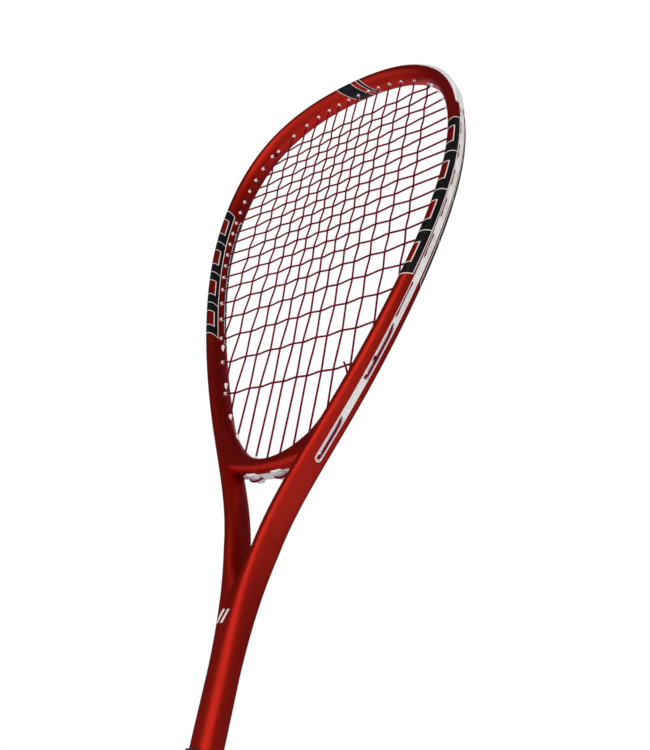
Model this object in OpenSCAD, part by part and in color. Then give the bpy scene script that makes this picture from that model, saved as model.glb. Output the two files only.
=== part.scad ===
// Squash racket with a teardrop head, an open throat and a one-piece hairpin frame.
// +Z runs from the butt to the tip, X across the strings, Y through the string bed.
// The origin is the middle of the butt face. All sizes are in millimetres.

/* [Overall] */
// Length from the butt to the top of the bumper
total_len = 685; // [670:1:686]
// Outside width of the head
head_w = 211; // [205:1:215]

/* [Outline of the frame, measured down from the tip of its centre line] */
// Drop to the widest point
wide_drop = 115; // [110:1:120]
// Drop to the straightest point of the arms
throat_drop = 307; // [302:1:312]
// Distance of each arm from the axis there
throat_x = 43.3; // [41:0.1:46]
// Angle of the arms there, measured from the axis
throat_angle = 26.5; // [25:0.5:28]
// Drop to the point where the arms run straight down
join_drop = 434; // [430:1:440]
// Distance of each tube's centre from the axis along the shaft
join_x = 5.6; // [5.2:0.1:6]

/* [Tubes] */
// Width of the hoop and arms, across the wall
tube_w = 9.2; // [9:0.1:10]
// Depth of the hoop, through the string bed
hoop_depth = 17.5; // [16:0.1:19]
// Depth of the arms at the throat
throat_depth = 19.8; // [18:0.1:22]
// Width of the shaft
shaft_w = 15.8; // [15:0.1:17]
// Depth of the shaft
shaft_depth = 17; // [16:0.1:18]
// Wall of the moulded tube
wall = 1.3; // [1:0.1:1.5]
// Width of the string channel
groove_w = 6; // [5.6:0.1:6.4]
// Depth of the string channel
groove_d = 2.6; // [2.4:0.1:2.7]

/* [Bridge] */
// Lowest point of the bridge's upper face, above the butt
bridge_top = 349.5; // [348:0.5:352]
// Height of the bridge in the middle
bridge_h = 9.5; // [8.5:0.5:10]
// Depth of the bridge
bridge_depth = 16.4; // [15:0.2:17]

/* [Strings] */
// Diameter of the string
string_d = 1.3; // [1.1:0.05:1.3]
// Number of main strings
mains = 14; // [14]
// Number of cross strings
crosses = 18; // [18]
// Gap between the two middle mains
main_gap = 9.3; // [9.1:0.1:9.4]
// Height of the lowest cross above the butt
cross_bottom = 406.5; // [405:0.5:408]
// Gap between the crosses in the upper half of the head
cross_gap = 11.15; // [11:0.05:11.2]
// Extra gap between the two lowest crosses
cross_extra = 16.5; // [15:0.5:17]

/* [Bumper and grommets] */
// How far the bumper stands out beyond the tip
bumper_t = 1.6; // [1:0.1:2]
// Thickness of the grommet strips
strip_t = 0.7; // [0.6:0.05:0.8]
// Outside diameter of a grommet barrel at its root
barrel_d = 2.9; // [2.6:0.1:3]
// How far a barrel stands out of the inner wall
barrel_out = 1.8; // [1:0.1:2]

/* [Handle] */
// Width of the wrapped handle
grip_w = 30; // [29:0.5:31]
// Depth of the wrapped handle
grip_depth = 26; // [25:0.5:27]
// Thickness of the wrap
wrap_t = 1.8; // [1.5:0.1:2]
// Height of the top of the wrap above the butt
wrap_top = 160; // [150:1:162]
// Length of the rubber collar
collar_len = 38; // [36:1:40]

/* [Hidden] */

lacquer_red = [0.70, 0.06, 0.05];
clear_nylon = [0.88, 0.89, 0.90];
string_red = [0.38, 0.02, 0.12];
foam_tan = [0.80, 0.72, 0.55];
grip_black = [0.09, 0.09, 0.10];
cap_black = [0.14, 0.14, 0.15];
plug_red = [0.42, 0.03, 0.04];
steel = [0.70, 0.71, 0.73];

half_w = tube_w / 2;
tip_z = total_len - bumper_t - half_w;
wide_z = tip_z - wide_drop;
throat_z = tip_z - throat_drop;
join_z = tip_z - join_drop;
wide_x = head_w / 2 - half_w;

// The two tubes blend into one shaft between these heights.
merge_top = 298;
merge_bottom = 226;
// The crotch closes between these heights, where the arms' inner sides grow together.
fork_top = 290;
fork_bottom = 240;
crotch_fill = 60;
// The shaft tubes end on the floor of the butt cap.
cap_floor = 2.5;
web = 1.2;

// Each curve is a cubic whose second and third points steer it.
arm_dir = [-sin(throat_angle), -cos(throat_angle)];
tip = [0, tip_z];
wide = [wide_x, wide_z];
throat = [throat_x, throat_z];
join = [join_x, join_z];
curves = [
    [tip, tip + [54, 0], wide + [0, 90], wide],
    [wide, wide - [0, 64], throat - 51 * arm_dir, throat],
    [throat, throat + 59 * arm_dir, join + [0, 57], join]
];
CURVE_END = 3;
SHAFT_START = 4;
SHAFT_END = 5;

function mix(a, b, s) = a + (b - a) * s;
function unit(v) = v / norm(v);
function smooth(s) = let (c = min(1, max(0, s))) c * c * (3 - 2 * c);
function signed_pow(v, e) = sign(v) * pow(abs(v), e);
function reversed(list) = [for (i = [len(list) - 1:-1:0]) list[i]];

function bezier(p, s) =
    pow(1 - s, 3) * p[0] + 3 * pow(1 - s, 2) * s * p[1]
    + 3 * (1 - s) * s * s * p[2] + pow(s, 3) * p[3];
function bezier_dir(p, s) =
    pow(1 - s, 2) * (p[1] - p[0]) + 2 * (1 - s) * s * (p[2] - p[1]) + s * s * (p[3] - p[2]);

// Centre line of the right half, in X and Z: t is 0 at the tip, 1 at the widest point,
// 2 at the throat, 3 where the arm runs straight down, 4 at the shaft and 5 at the butt.
function centre(t) =
    t < CURVE_END ? bezier(curves[floor(t)], t - floor(t))
    : t < SHAFT_START ? [join_x, mix(join_z, merge_bottom, t - CURVE_END)]
    : [join_x, mix(merge_bottom, cap_floor, t - SHAFT_START)];
function heading(t) = t < CURVE_END ? unit(bezier_dir(curves[floor(t)], t - floor(t))) : [0, -1];
function outward(t) = let (d = heading(t)) [-d[1], d[0]];
// The point that is u outside the centre line.
function at_wall(t, u) = centre(t) + u * outward(t);

function merged(z) = smooth((merge_top - z) / (merge_top - merge_bottom));
function depth_at(z) =
    mix(hoop_depth, throat_depth, smooth((wide_z - z) / (wide_z - throat_z))) / 2;
function fill_at(z) =
    crotch_fill * pow(max(0, min(1, (fork_top - z) / (fork_top - fork_bottom))), 2);

// Bisection: the t between lo and hi where f changes sign.
function solve(f, lo, hi, n = 26) =
    n == 0 ? (lo + hi) / 2
    : let (mid = (lo + hi) / 2)
      (f(mid) > 0) == (f(lo) > 0) ? solve(f, mid, hi, n - 1) : solve(f, lo, mid, n - 1);

// --- Section of the tube -------------------------------------------------------------

// Squareness of the section: outer side of the hoop, inner side, and shaft.
outer_power = 2.5;
inner_power = 2.1;
shaft_power = 2.2;
// The channel runs round the head and stops on the outer side of each arm at this height.
groove_end_z = 345;
groove_end = solve(function(t) centre(t)[1] - groove_end_z, 2, CURVE_END);
groove_ramp = 0.02;
// Half the width of the channel's floor, as a share of the channel's width.
floor_share = 0.47;
function groove_at(t) = max(0, min(1, (groove_end - t) / groove_ramp));

function section_power(angle, m) =
    cos(angle) > 0 ? mix(outer_power, shaft_power, m) : inner_power;

// A point of the tube's surface, at an angle from its outer side, moved in by inset,
// and never nearer to the axis than core.
function surface_point(t, angle, inset = 0, core = 0, limit = 99) =
    let (
        c = centre(t),
        n = outward(t),
        m = merged(c[1]),
        e = 2 / section_power(angle, m),
        outer = cos(angle) > 0,
        reach = outer ? half_w - inset : half_w + fill_at(c[1]) - inset,
        axis_u = c[1] < fork_top ? -c[0] / n[0] : -half_w,
        u = max(axis_u, min(limit, reach * signed_pow(cos(angle), e))),
        across = signed_pow(sin(angle), e),
        shaft_x = outer ? (shaft_w / 2 - inset) * pow(cos(angle), e) : 0
    )
    [
        max(core, mix(c[0] + u * n[0], shaft_x, m)),
        across * mix(depth_at(c[1]) - inset, shaft_depth / 2 - inset, m),
        c[1] + u * n[1] * (1 - m)
    ];

// The angle at which the section is as wide as the channel.
function groove_angle(t) =
    let (
        z = centre(t)[1],
        m = merged(z),
        b = mix(depth_at(z), shaft_depth / 2, m)
    )
    asin(pow(groove_w / 2 / b, section_power(0, m) / 2));

// A corner of the channel's floor, or a point of the plain surface where there is no channel.
function floor_point(t, side) =
    let (
        flat = surface_point(t, side * groove_angle(t) / 3),
        deep = at_wall(t, half_w - groove_d)
    )
    mix(flat, [deep[0], side * groove_w * floor_share, deep[1]], groove_at(t));

skin_steps = 14;
function skin_ring(t) =
    let (a = groove_angle(t))
    concat(
        [for (i = [0:skin_steps]) surface_point(t, mix(a, 360 - a, i / skin_steps))],
        [floor_point(t, -1), floor_point(t, 1)]
    );

bore_steps = 12;
function bore_ring(t) =
    let (
        core = t < 1 ? 0 : web / 2,
        limit = half_w - wall - groove_d * (t < groove_end + groove_ramp ? 1 : 0)
    )
    [for (i = [0:bore_steps - 1])
        surface_point(t, 360 * i / bore_steps, wall, core, limit)];

// Stations along one half, closer together where the shape changes faster.
function steps(from, to, n) = [for (i = [0:n - 1]) mix(from, to, i / n)];
skin_stations = concat(
    steps(0, 1, 12), steps(1, 2, 10), steps(2, groove_end - groove_ramp, 3),
    [groove_end - groove_ramp, groove_end],
    steps(groove_end + groove_ramp, CURVE_END, 9), steps(CURVE_END, SHAFT_START, 3),
    [SHAFT_START, SHAFT_END]
);
bore_stations = concat(
    steps(0, 1, 8), steps(1, 2, 6), steps(2, groove_end + groove_ramp, 3),
    steps(groove_end + groove_ramp, CURVE_END, 7), steps(CURVE_END, SHAFT_START, 3),
    [SHAFT_START, SHAFT_END + 0.01]
);

// A closed solid through a list of rings with equal counts of points.
module loft(rings) {
    n = len(rings[0]);
    last_ring = len(rings) - 1;
    sides = [
        for (i = [0:last_ring - 1], j = [0:n - 1])
            let (a = i * n + j, b = i * n + (j + 1) % n)
            each [[a, b, b + n], [a, b + n, a + n]]
    ];
    ends = [[for (j = [n - 1:-1:0]) j], [for (j = [0:n - 1]) last_ring * n + j]];
    polyhedron(points = [for (r = rings) each r], faces = concat(sides, ends));
}

module both_sides() {
    children();
    mirror([1, 0, 0]) children();
}

// --- String layout -------------------------------------------------------------------

// The outer mains stand a little further apart than the middle ones.
main_spread = 0.0405;
// How steeply the crosses spread out towards the throat.
spacing_power = 6;
weave = string_d / 2 + 0.04;
// Each kind of string keeps to its own side of the middle in the holes and in the channel.
hole_y = 0.75;
lane_y = 1.3;
string_gap = 0.05;
// A string turns out of its hole this far below its seat in the channel.
bend_drop = 0.05;
floor_u = half_w - groove_d + string_gap;
seat_u = floor_u + strip_t + string_d / 2 + string_gap;
knot_d = 2.5;
knot_u = floor_u + strip_t + knot_d / 2 + string_gap;
// A knotted string ends this far past the middle of its knot, or past its face on the bridge.
tail_past = 0.4;
// A string is woven up to this distance from the wall.
wall_gap = 2;

function main_x(j) =
    let (k = j - (mains - 1) / 2)
    sign(k) * (main_gap * abs(k) + main_spread * pow(abs(k), 3));
function cross_z(i) =
    i == 0 ? cross_bottom
    : cross_z(i - 1) + cross_gap + cross_extra * pow(1 - (i - 1) / (crosses - 2), spacing_power);

// Six mains end on the bridge. The outer two of them lean in, to miss the arms.
bridge_reach = 30;
corner_x = 21;
function on_bridge(j) = abs(main_x(j)) < bridge_reach;
function in_corner(j) = on_bridge(j) && abs(main_x(j)) > corner_x;
function low_x(j) = in_corner(j) ? sign(main_x(j)) * corner_x : main_x(j);

// Where a string's line meets the line that is u outside the centre line.
function main_top_t(j, u) = solve(function(t) at_wall(t, u)[0] - abs(main_x(j)), 0, 1);
function main_low_t(j, u) = solve(function(t) at_wall(t, u)[0] - abs(main_x(j)), 1.2, CURVE_END);
function cross_t(i, u) = solve(function(t) at_wall(t, u)[1] - cross_z(i), 0.02, CURVE_END);

// Upper and lower faces of the bridge at a distance x from the axis. Past its middle the
// lower face follows the centre line of the arm, inside which the bridge is rooted.
bridge_curve = 0.0185;
belly_curve = 0.004;
bridge_end = 47;
function bridge_up(x) = bridge_top + bridge_curve * x * x;
function arm_mid_z(x) = throat_z + (x - throat_x) / tan(throat_angle);
function bridge_low(x) = max(bridge_top - bridge_h + belly_curve * x * x, arm_mid_z(abs(x)));

top_t = [for (j = [0:mains - 1]) main_top_t(j, seat_u)];
low_t = [for (j = [0:mains - 1]) on_bridge(j) ? 0 : main_low_t(j, seat_u)];
side_t = [for (i = [0:crosses - 1]) cross_t(i, seat_u)];

function top_z(j, u) = at_wall(main_top_t(j, u), u)[1];
function low_z(j, u) =
    in_corner(j) ? bridge_low(corner_x) - min(u, knot_d + string_gap + tail_past)
    : on_bridge(j) ? bridge_low(main_x(j)) - strip_t - string_gap
    : at_wall(main_low_t(j, u), u)[1];
function inner_low_z(j) =
    on_bridge(j) ? bridge_up(main_x(j)) : max(bridge_up(main_x(j)), low_z(j, -half_w));
function side_x(i, u) = at_wall(cross_t(i, u), u)[0];

function main_over(i, j) = (i + j) % 2 == 0 ? -weave : weave;

// The woven stretch of one main from bottom to top, and of one cross from left to right.
function main_run(j) =
    let (x = main_x(j), low = inner_low_z(j), high = top_z(j, -half_w))
    concat(
        [[x, hole_y, low + 0.4]],
        [for (i = [0:crosses - 1])
            if (cross_z(i) > low + wall_gap && cross_z(i) < high - wall_gap)
                [x, main_over(i, j), cross_z(i)]],
        [[x, hole_y, high - 0.4]]
    );
function cross_run(i) =
    let (z = cross_z(i), reach = side_x(i, -half_w))
    concat(
        [[-reach + 0.4, -hole_y, z]],
        [for (j = [0:mains - 1])
            if (abs(main_x(j)) < reach - wall_gap) [main_x(j), -main_over(i, j), z]],
        [[reach - 0.4, -hole_y, z]]
    );

function side_of(j) = main_x(j) < 0 ? -1 : 1;
// A loop starts and ends this far from its holes, in stations.
loop_lead = 0.014;
// A loop in the channel between two stations, which are negative on the left half.
function groove_loop(from, to, y) =
    let (
        lead = loop_lead * sign(to - from),
        n = 2 + ceil(9 * abs(to - from))
    )
    [for (k = [0:n])
        let (
            t = mix(from + lead, to - lead, k / n),
            p = at_wall(abs(t), seat_u)
        )
        [sign(t) * p[0], k == 0 || k == n ? y * 0.8 : y, p[1]]];

// A loop under the bridge, round the pad between two holes.
pad_x = (main_x(mains / 2) + main_x(mains / 2 + 1)) / 2;
pad_r = [3.9, 2.2];
// Play between a pad and the string that loops round it.
pad_play = 0.25;
pad_clear = string_d / 2 + pad_play;
function pad_loop(side) =
    [for (a = [150:-20:30])
        [
            side * (pad_x + (pad_r[0] + pad_clear) * cos(a)),
            hole_y * (1 - sin(a)),
            bridge_low(pad_x) - (pad_r[1] + pad_clear) * sin(a)
        ]];

// The mains are strung in three lengths: four at each side and six in the middle.
main_lengths = [[0, 3], [4, 9], [10, 13]];
function in_middle(j) = j > 3 && j < 10;
function runs_up(j) = (j % 2 == 0) == in_middle(j);
function main_end(j, top) =
    let (
        length = [for (m = main_lengths) if (j >= m[0] && j <= m[1]) m][0],
        last_one = j == (runs_up(j) == top ? length[1] : length[0]),
        u = last_one ? knot_u + tail_past : seat_u - bend_drop
    )
    [[top ? main_x(j) : low_x(j), hole_y, top ? top_z(j, u) : low_z(j, u)]];
function main_link(j) =
    on_bridge(j) && !runs_up(j) ? (side_of(j) < 0 ? reversed(pad_loop(-1)) : pad_loop(1))
    : let (t = runs_up(j) ? top_t : low_t)
      groove_loop(side_of(j) * t[j], side_of(j + 1) * t[j + 1], lane_y);
function main_path(length) = [
    for (j = [length[0]:length[1]])
        let (
            up = concat(main_end(j, false), main_run(j), main_end(j, true)),
            run = runs_up(j) ? up : reversed(up)
        )
        each concat(run, j < length[1] ? main_link(j) : [])
];

// The lowest cross runs from right to left, the next one back, and so on up the head.
function cross_end(i, side) =
    let (
        last_one = side > 0 && (i == 0 || i == crosses - 1),
        u = last_one ? knot_u + tail_past : seat_u - bend_drop
    )
    [[side * side_x(i, u), -hole_y, cross_z(i)]];
cross_path = [
    for (i = [0:crosses - 1])
        let (
            across = concat(cross_end(i, -1), cross_run(i), cross_end(i, 1)),
            side = i % 2 == 1 ? 1 : -1
        )
        each concat(
            side > 0 ? across : reversed(across),
            i == crosses - 1 ? []
            : groove_loop(side * side_t[i], side * side_t[i + 1], -lane_y)
        )
];

string_sides = 5;
// A string along a path that never runs along Y.
module string_along(path) {
    end = len(path) - 1;
    loft([
        for (k = [0:end])
            let (
                ahead = unit(path[min(k + 1, end)] - path[min(k, end - 1)]),
                behind = unit(path[max(k, 1)] - path[max(k - 1, 0)]),
                along = unit(ahead + behind),
                side = unit(cross(along, [0, 1, 0])),
                up = cross(side, along)
            )
            [for (s = [0:string_sides - 1])
                let (a = 360 * s / string_sides)
                path[k] + string_d / 2 * (cos(a) * side + sin(a) * up)]
    ]);
}

// --- Holes and barrels ---------------------------------------------------------------

hole_d = barrel_d + 0.27;
hole_sides = 6;
slice = 0.01;
through_d = string_d + 0.35;

// Rods between two points, one pair with level ends and one with upright ends.
module upright(low, high, d_low, d_high) {
    hull() {
        translate(low) cylinder(d = d_low, h = slice, $fn = hole_sides);
        translate(high - [0, 0, slice]) cylinder(d = d_high, h = slice, $fn = hole_sides);
    }
}

module level(inner, outer, d_inner, d_outer) {
    hull() {
        translate(inner) rotate([0, 90, 0]) cylinder(d = d_inner, h = slice, $fn = hole_sides);
        translate(outer - [slice, 0, 0])
            rotate([0, 90, 0]) cylinder(d = d_outer, h = slice, $fn = hole_sides);
    }
}

// A main's hole through the bridge, run on by grow past both faces.
module bridge_hole(j, d, grow) {
    low = [low_x(j), hole_y, low_z(j, 0)];
    high = [main_x(j), hole_y, inner_low_z(j)];
    along = unit(high - low);
    upright(low - grow * along, high + grow * along, d, d);
}

// The holes of the right half, as rods of diameter d that run grow past both faces.
module hole_rods(d, grow, from, to) {
    for (j = [mains / 2:mains - 1]) {
        x = main_x(j);
        if (top_t[j] >= from && top_t[j] < to)
            upright([x, hole_y, top_z(j, -half_w) - grow], [x, hole_y, top_z(j, seat_u) + grow], d, d);
        if (!on_bridge(j) && low_t[j] >= from && low_t[j] < to)
            upright([x, hole_y, low_z(j, seat_u) - grow], [x, hole_y, inner_low_z(j) + grow], d, d);
    }
    for (i = [0:crosses - 1])
        if (side_t[i] >= from && side_t[i] < to)
            level([side_x(i, -half_w) - grow, -hole_y, cross_z(i)],
                [side_x(i, seat_u) + grow, -hole_y, cross_z(i)], d, d);
}

// Tapered barrels that line those holes, from the strip to just inside the hoop.
barrel_tip_d = barrel_d - 0.3;
module barrels(from, to) {
    root_u = floor_u + 0.25;
    for (j = [mains / 2:mains - 1]) {
        x = main_x(j);
        if (top_t[j] >= from && top_t[j] < to)
            upright([x, hole_y, top_z(j, -half_w) - barrel_out], [x, hole_y, top_z(j, root_u)],
                barrel_tip_d, barrel_d);
        if (!on_bridge(j) && low_t[j] >= from && low_t[j] < to)
            upright([x, hole_y, low_z(j, root_u)], [x, hole_y, inner_low_z(j) + barrel_out],
                barrel_d, barrel_tip_d);
    }
    for (i = [0:crosses - 1])
        if (side_t[i] >= from && side_t[i] < to)
            level([side_x(i, -half_w) - barrel_out, -hole_y, cross_z(i)],
                [side_x(i, root_u), -hole_y, cross_z(i)], barrel_tip_d, barrel_d);
}

// --- Frame ---------------------------------------------------------------------------

module frame_half() {
    loft([for (t = skin_stations) skin_ring(t)]);
}

module frame_solid() {
    both_sides() frame_half();
}

// Hoop, arms and shaft moulded as one hollow hairpin tube, open at the butt.
module frame() {
    color(lacquer_red)
    difference() {
        frame_solid();
        both_sides() {
            loft([for (t = bore_stations) bore_ring(t)]);
            hole_rods(hole_d, 4, 0, CURVE_END);
        }
    }
}

bridge_slices = 16;
bridge_sides = 14;
bridge_power = 2.6;
// The section turns into that of the arm's inner side towards each end, where it is rooted.
root_share = 0.9;
// Depth of its ends as a share of the arm's depth, which keeps them inside the arm's faces.
root_depth = 0.8;
function bridge_ring(x) =
    let (
        root = root_share * smooth(abs(x) / bridge_end),
        low = bridge_low(x),
        up = bridge_up(x),
        mid = mix((up + low) / 2, low, root),
        half = mix(bridge_depth / 2, root_depth * depth_at(up), root),
        e = 2 / mix(bridge_power, inner_power, root)
    )
    [for (k = [0:bridge_sides - 1])
        let (a = 360 * k / bridge_sides)
        [
            x,
            half * signed_pow(sin(a), e),
            mid + (cos(a) > 0 ? up - mid : mid - low) * signed_pow(cos(a), e)
        ]];

// The yoke between the arms, which closes the foot of the head.
module bridge() {
    color(lacquer_red)
    difference() {
        loft([for (k = [0:bridge_slices]) bridge_ring(mix(-bridge_end, bridge_end, k / bridge_slices))]);
        frame_solid();
        for (j = [0:mains - 1])
            if (abs(main_x(j)) < bridge_end) bridge_hole(j, hole_d, 4);
    }
}

// --- Bumper and grommet strips -------------------------------------------------------

bumper_end = 10 / 12;
joint_gap = 0.004;
strip_end = groove_end - groove_ramp * 1.6;
lip_v = 6.4;
rib_v = 4.6;
channel_v = groove_w / 2 - 0.75;
channel_wall = groove_w * floor_share - string_gap;

// Height of the tube's outer face, v away from the middle of the tube.
function outer_u(v) =
    let (s = pow(abs(v) / (hoop_depth / 2), outer_power / 2))
    half_w * pow(sqrt(1 - s * s), 2 / outer_power) + string_gap;

// The guard's ribs shrink over the last stretch of each end.
function rib_height(t) = bumper_t * smooth((bumper_end - t) / 0.12) + 0.35;
function bumper_section(t) =
    let (
        top = half_w + rib_height(t),
        edge = groove_w / 2,
        half = [
            [floor_u, channel_wall], [outer_u(edge) - 0.1, channel_wall],
            [outer_u(edge) + 0.1, edge + 0.1], [outer_u(rib_v), rib_v], [outer_u(lip_v), lip_v],
            [mix(outer_u(lip_v), top, 0.35), lip_v + 0.1], [top, rib_v - 0.2],
            [top, channel_v + 0.5], [floor_u + strip_t, channel_v]
        ]
    )
    concat([for (p = half) [p[0], -p[1]]], reversed(half));
strip_half = [
    [floor_u, channel_wall - 0.15], [floor_u + strip_t * 0.6, channel_wall],
    [floor_u + strip_t, channel_wall - 0.25]
];
strip_section = concat([for (p = strip_half) [p[0], -p[1]]], reversed(strip_half));
function placed(t, section) =
    [for (p = section) let (c = at_wall(t, p[0])) [c[0], p[1], c[1]]];
function stations_between(from, to) =
    concat([from], [for (t = skin_stations) if (t > from && t < to) t], [to]);

// Clear guard over the tip, with the grommets of the top strings moulded in one piece.
module bumper_guard() {
    color(clear_nylon)
    difference() {
        both_sides() {
            loft([for (t = stations_between(0, bumper_end)) placed(t, bumper_section(t))]);
            barrels(0, bumper_end);
        }
        both_sides() hole_rods(through_d, 6, 0, bumper_end);
    }
}

module grommet_strip() {
    start = bumper_end + joint_gap;
    color(clear_nylon)
    difference() {
        union() {
            loft([for (t = stations_between(start, strip_end)) placed(t, strip_section)]);
            barrels(start, CURVE_END);
        }
        hole_rods(through_d, 6, start, CURVE_END);
    }
}

module right_grommet_strip() {
    grommet_strip();
}

module left_grommet_strip() {
    mirror([1, 0, 0]) grommet_strip();
}

band = 3;
band_reach = 18.5;
band_pieces = 6;
pad_depth = 11;
pad_drop = 0.25;
// Strip under the bridge, with a thick rounded pad under each loop of string.
module bridge_grommet_strip() {
    color(clear_nylon)
    difference() {
        union() {
            for (k = [0:band_pieces - 1]) hull() {
                for (share = [k, k + 1] / band_pieces) {
                    x = mix(-band_reach, band_reach, share);
                    translate([x - slice / 2, -band, bridge_low(x) - strip_t])
                        cube([slice, 2 * band, strip_t - 0.1]);
                }
            }
            both_sides()
                translate([pad_x, pad_depth / 2, bridge_low(pad_x) - pad_drop])
                    rotate([90, 0, 0]) linear_extrude(pad_depth)
                        polygon([for (a = [180:20:360]) [pad_r[0] * cos(a), pad_r[1] * sin(a)]]);
            for (j = [0:mains - 1])
                if (on_bridge(j) && !in_corner(j))
                    upright([main_x(j), hole_y, bridge_low(main_x(j)) - 0.4],
                        [main_x(j), hole_y, bridge_up(main_x(j)) + barrel_out],
                        barrel_d, barrel_tip_d);
        }
        for (j = [0:mains - 1])
            if (on_bridge(j) && !in_corner(j)) bridge_hole(j, through_d, 9);
    }
}

// --- Strings -------------------------------------------------------------------------

module main_string() {
    color(string_red) for (m = main_lengths) string_along(main_path(m));
}

module cross_string() {
    color(string_red) string_along(cross_path);
}

tail_len = 9;
// The main that the cut end is tied to.
tied_main = mains - 3;
// A knot drawn tight on an upright or level string.
module knot(centre, along_x) {
    translate(centre) difference() {
        sphere(d = knot_d, $fn = 12);
        rotate([0, along_x ? 90 : 0, 0])
            cylinder(d = string_d + 0.1, h = 2 * knot_d, center = true, $fn = 12);
    }
}

// The knots at the ends of the strings, and one short cut tail.
module tie_off_knots() {
    tied = [main_x(tied_main), main_over(0, tied_main) * 0.6, cross_z(0) - 6];
    color(string_red) {
        both_sides() {
            for (j = [10, 13]) knot([main_x(j), hole_y, top_z(j, knot_u)], false);
            knot([corner_x, hole_y, bridge_low(corner_x) - knot_d / 2 - string_gap], false);
        }
        for (i = [0, crosses - 1]) knot([side_x(i, knot_u), -hole_y, cross_z(i)], true);
        knot(tied, false);
        translate(tied - [0, (knot_d + string_d) / 2, 0]) rotate([0, -25, 0])
            cylinder(d = string_d, h = tail_len, $fn = 12);
    }
}

// --- Handle --------------------------------------------------------------------------

fit_gap = 0.05;
pallet_w = grip_w - 2 * wrap_t - 2 * fit_gap;
pallet_depth = grip_depth - 2 * wrap_t - 2 * fit_gap;
taper_len = 14;
pallet_top = wrap_top + taper_len + 4;
skirt_t = 1;
skirt_top = 15;
flange_top = 5;

// A rectangle with bevelled corners, as a racket handle has.
module bevelled(w, d) {
    b = min(w, d) * 0.27;
    polygon([
        [w / 2, d / 2 - b], [w / 2 - b * 0.8, d / 2], [-w / 2 + b * 0.8, d / 2], [-w / 2, d / 2 - b],
        [-w / 2, -d / 2 + b], [-w / 2 + b * 0.8, -d / 2], [w / 2 - b * 0.8, -d / 2], [w / 2, -d / 2 + b]
    ]);
}

// The outline of the shaft, larger all round by grow.
module shaft_outline(grow) {
    n = 40;
    e = 2 / shaft_power;
    polygon([
        for (k = [0:n - 1])
            let (a = 360 * k / n)
            [
                (shaft_w / 2 + grow) * signed_pow(cos(a), e),
                (shaft_depth / 2 + grow) * signed_pow(sin(a), e)
            ]
    ]);
}

// The staples stand in these slots, one in each wide side of the skirt.
staple_w = 7;
staple_leg = 1.9;
staple_wire = 0.8;
staple_z = 10.5;
module staple(grow) {
    leg_x = staple_w / 2 - staple_wire / 2;
    translate([0, pallet_depth / 2 - staple_wire, staple_z]) {
        translate([-staple_w / 2 - grow, -grow, -grow])
            cube([staple_w + 2 * grow, staple_wire + 2 * grow, staple_wire + 2 * grow]);
        for (side = [-1, 1])
            translate([side * leg_x - staple_wire / 2 - grow, -staple_leg, -grow])
                cube([staple_wire + 2 * grow, staple_leg + grow, staple_wire + 2 * grow]);
    }
}

module pallet() {
    inset = 2 * (skirt_t + fit_gap);
    color(foam_tan)
    difference() {
        union() {
            translate([0, 0, skirt_top])
                linear_extrude(pallet_top - taper_len - skirt_top) bevelled(pallet_w, pallet_depth);
            translate([0, 0, cap_floor])
                linear_extrude(skirt_top - cap_floor) bevelled(pallet_w - inset, pallet_depth - inset);
            hull() {
                translate([0, 0, pallet_top - taper_len - 0.01])
                    linear_extrude(0.01) bevelled(pallet_w, pallet_depth);
                translate([0, 0, pallet_top - 0.01])
                    linear_extrude(0.01) bevelled(shaft_w + 2.6, shaft_depth + 2.2);
            }
        }
        translate([0, 0, -1]) linear_extrude(pallet_top + 2) shaft_outline(fit_gap);
        translate([-grip_w, -fit_gap / 2, 0]) cube([2 * grip_w, grip_depth, pallet_top + 1]);
        rotate(180) staple(0.05);
    }
}

module front_pallet() {
    pallet();
}

module back_pallet() {
    rotate(180) pallet();
}

plug_len = 40;
// Foam plugs that close the two bores of the shaft at the butt.
module bore_plugs() {
    top = mix(SHAFT_END, SHAFT_START, plug_len / (merge_bottom - cap_floor));
    color(foam_tan)
    both_sides()
        loft([
            for (t = [top, SHAFT_END])
                [for (i = [0:bore_steps - 1])
                    surface_point(t, 360 * i / bore_steps, wall + fit_gap, web / 2 + fit_gap)]
        ]);
}

plug_d = 15;
// Cup over the butt end: a flared flange, a skirt round the pallets and a hole for the plug.
module butt_cap() {
    color(cap_black)
    difference() {
        union() {
            linear_extrude(flange_top) bevelled(grip_w + 0.6, grip_depth + 0.6);
            linear_extrude(skirt_top - fit_gap) bevelled(pallet_w, pallet_depth);
        }
        translate([0, 0, cap_floor])
            linear_extrude(skirt_top) bevelled(pallet_w - 2 * skirt_t, pallet_depth - 2 * skirt_t);
        translate([0, 0, -1]) cylinder(d = plug_d, h = 8, $fn = 64);
        for (turn = [0, 180]) rotate(turn) staple(0.05);
    }
}

// Round plug snapped into the floor of the cap, with a shallow dished face.
module butt_plug() {
    color(plug_red)
    difference() {
        cylinder(d = plug_d - 0.1, h = cap_floor - 0.05, $fn = 64);
        translate([0, 0, -0.01]) cylinder(d = plug_d - 4, h = 0.61, $fn = 64);
    }
}

module cap_staples() {
    color(steel) for (turn = [0, 180]) rotate(turn) staple(0);
}

tack_z = flange_top + 3;
tack_d = 1;
// Cushioned wrap, wound round the pallets from the cap's flange to the taper.
module grip_wrap() {
    color(grip_black)
    difference() {
        translate([0, 0, flange_top])
            linear_extrude(wrap_top - flange_top) bevelled(grip_w, grip_depth);
        translate([0, 0, -1])
            linear_extrude(pallet_top) bevelled(pallet_w + 2 * fit_gap, pallet_depth + 2 * fit_gap);
        translate([grip_w / 2 - wrap_t - 1, 0, tack_z]) rotate([0, 90, 0])
            cylinder(d = tack_d + 0.1, h = 2 * wrap_t + 1, $fn = 24);
    }
}

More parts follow.
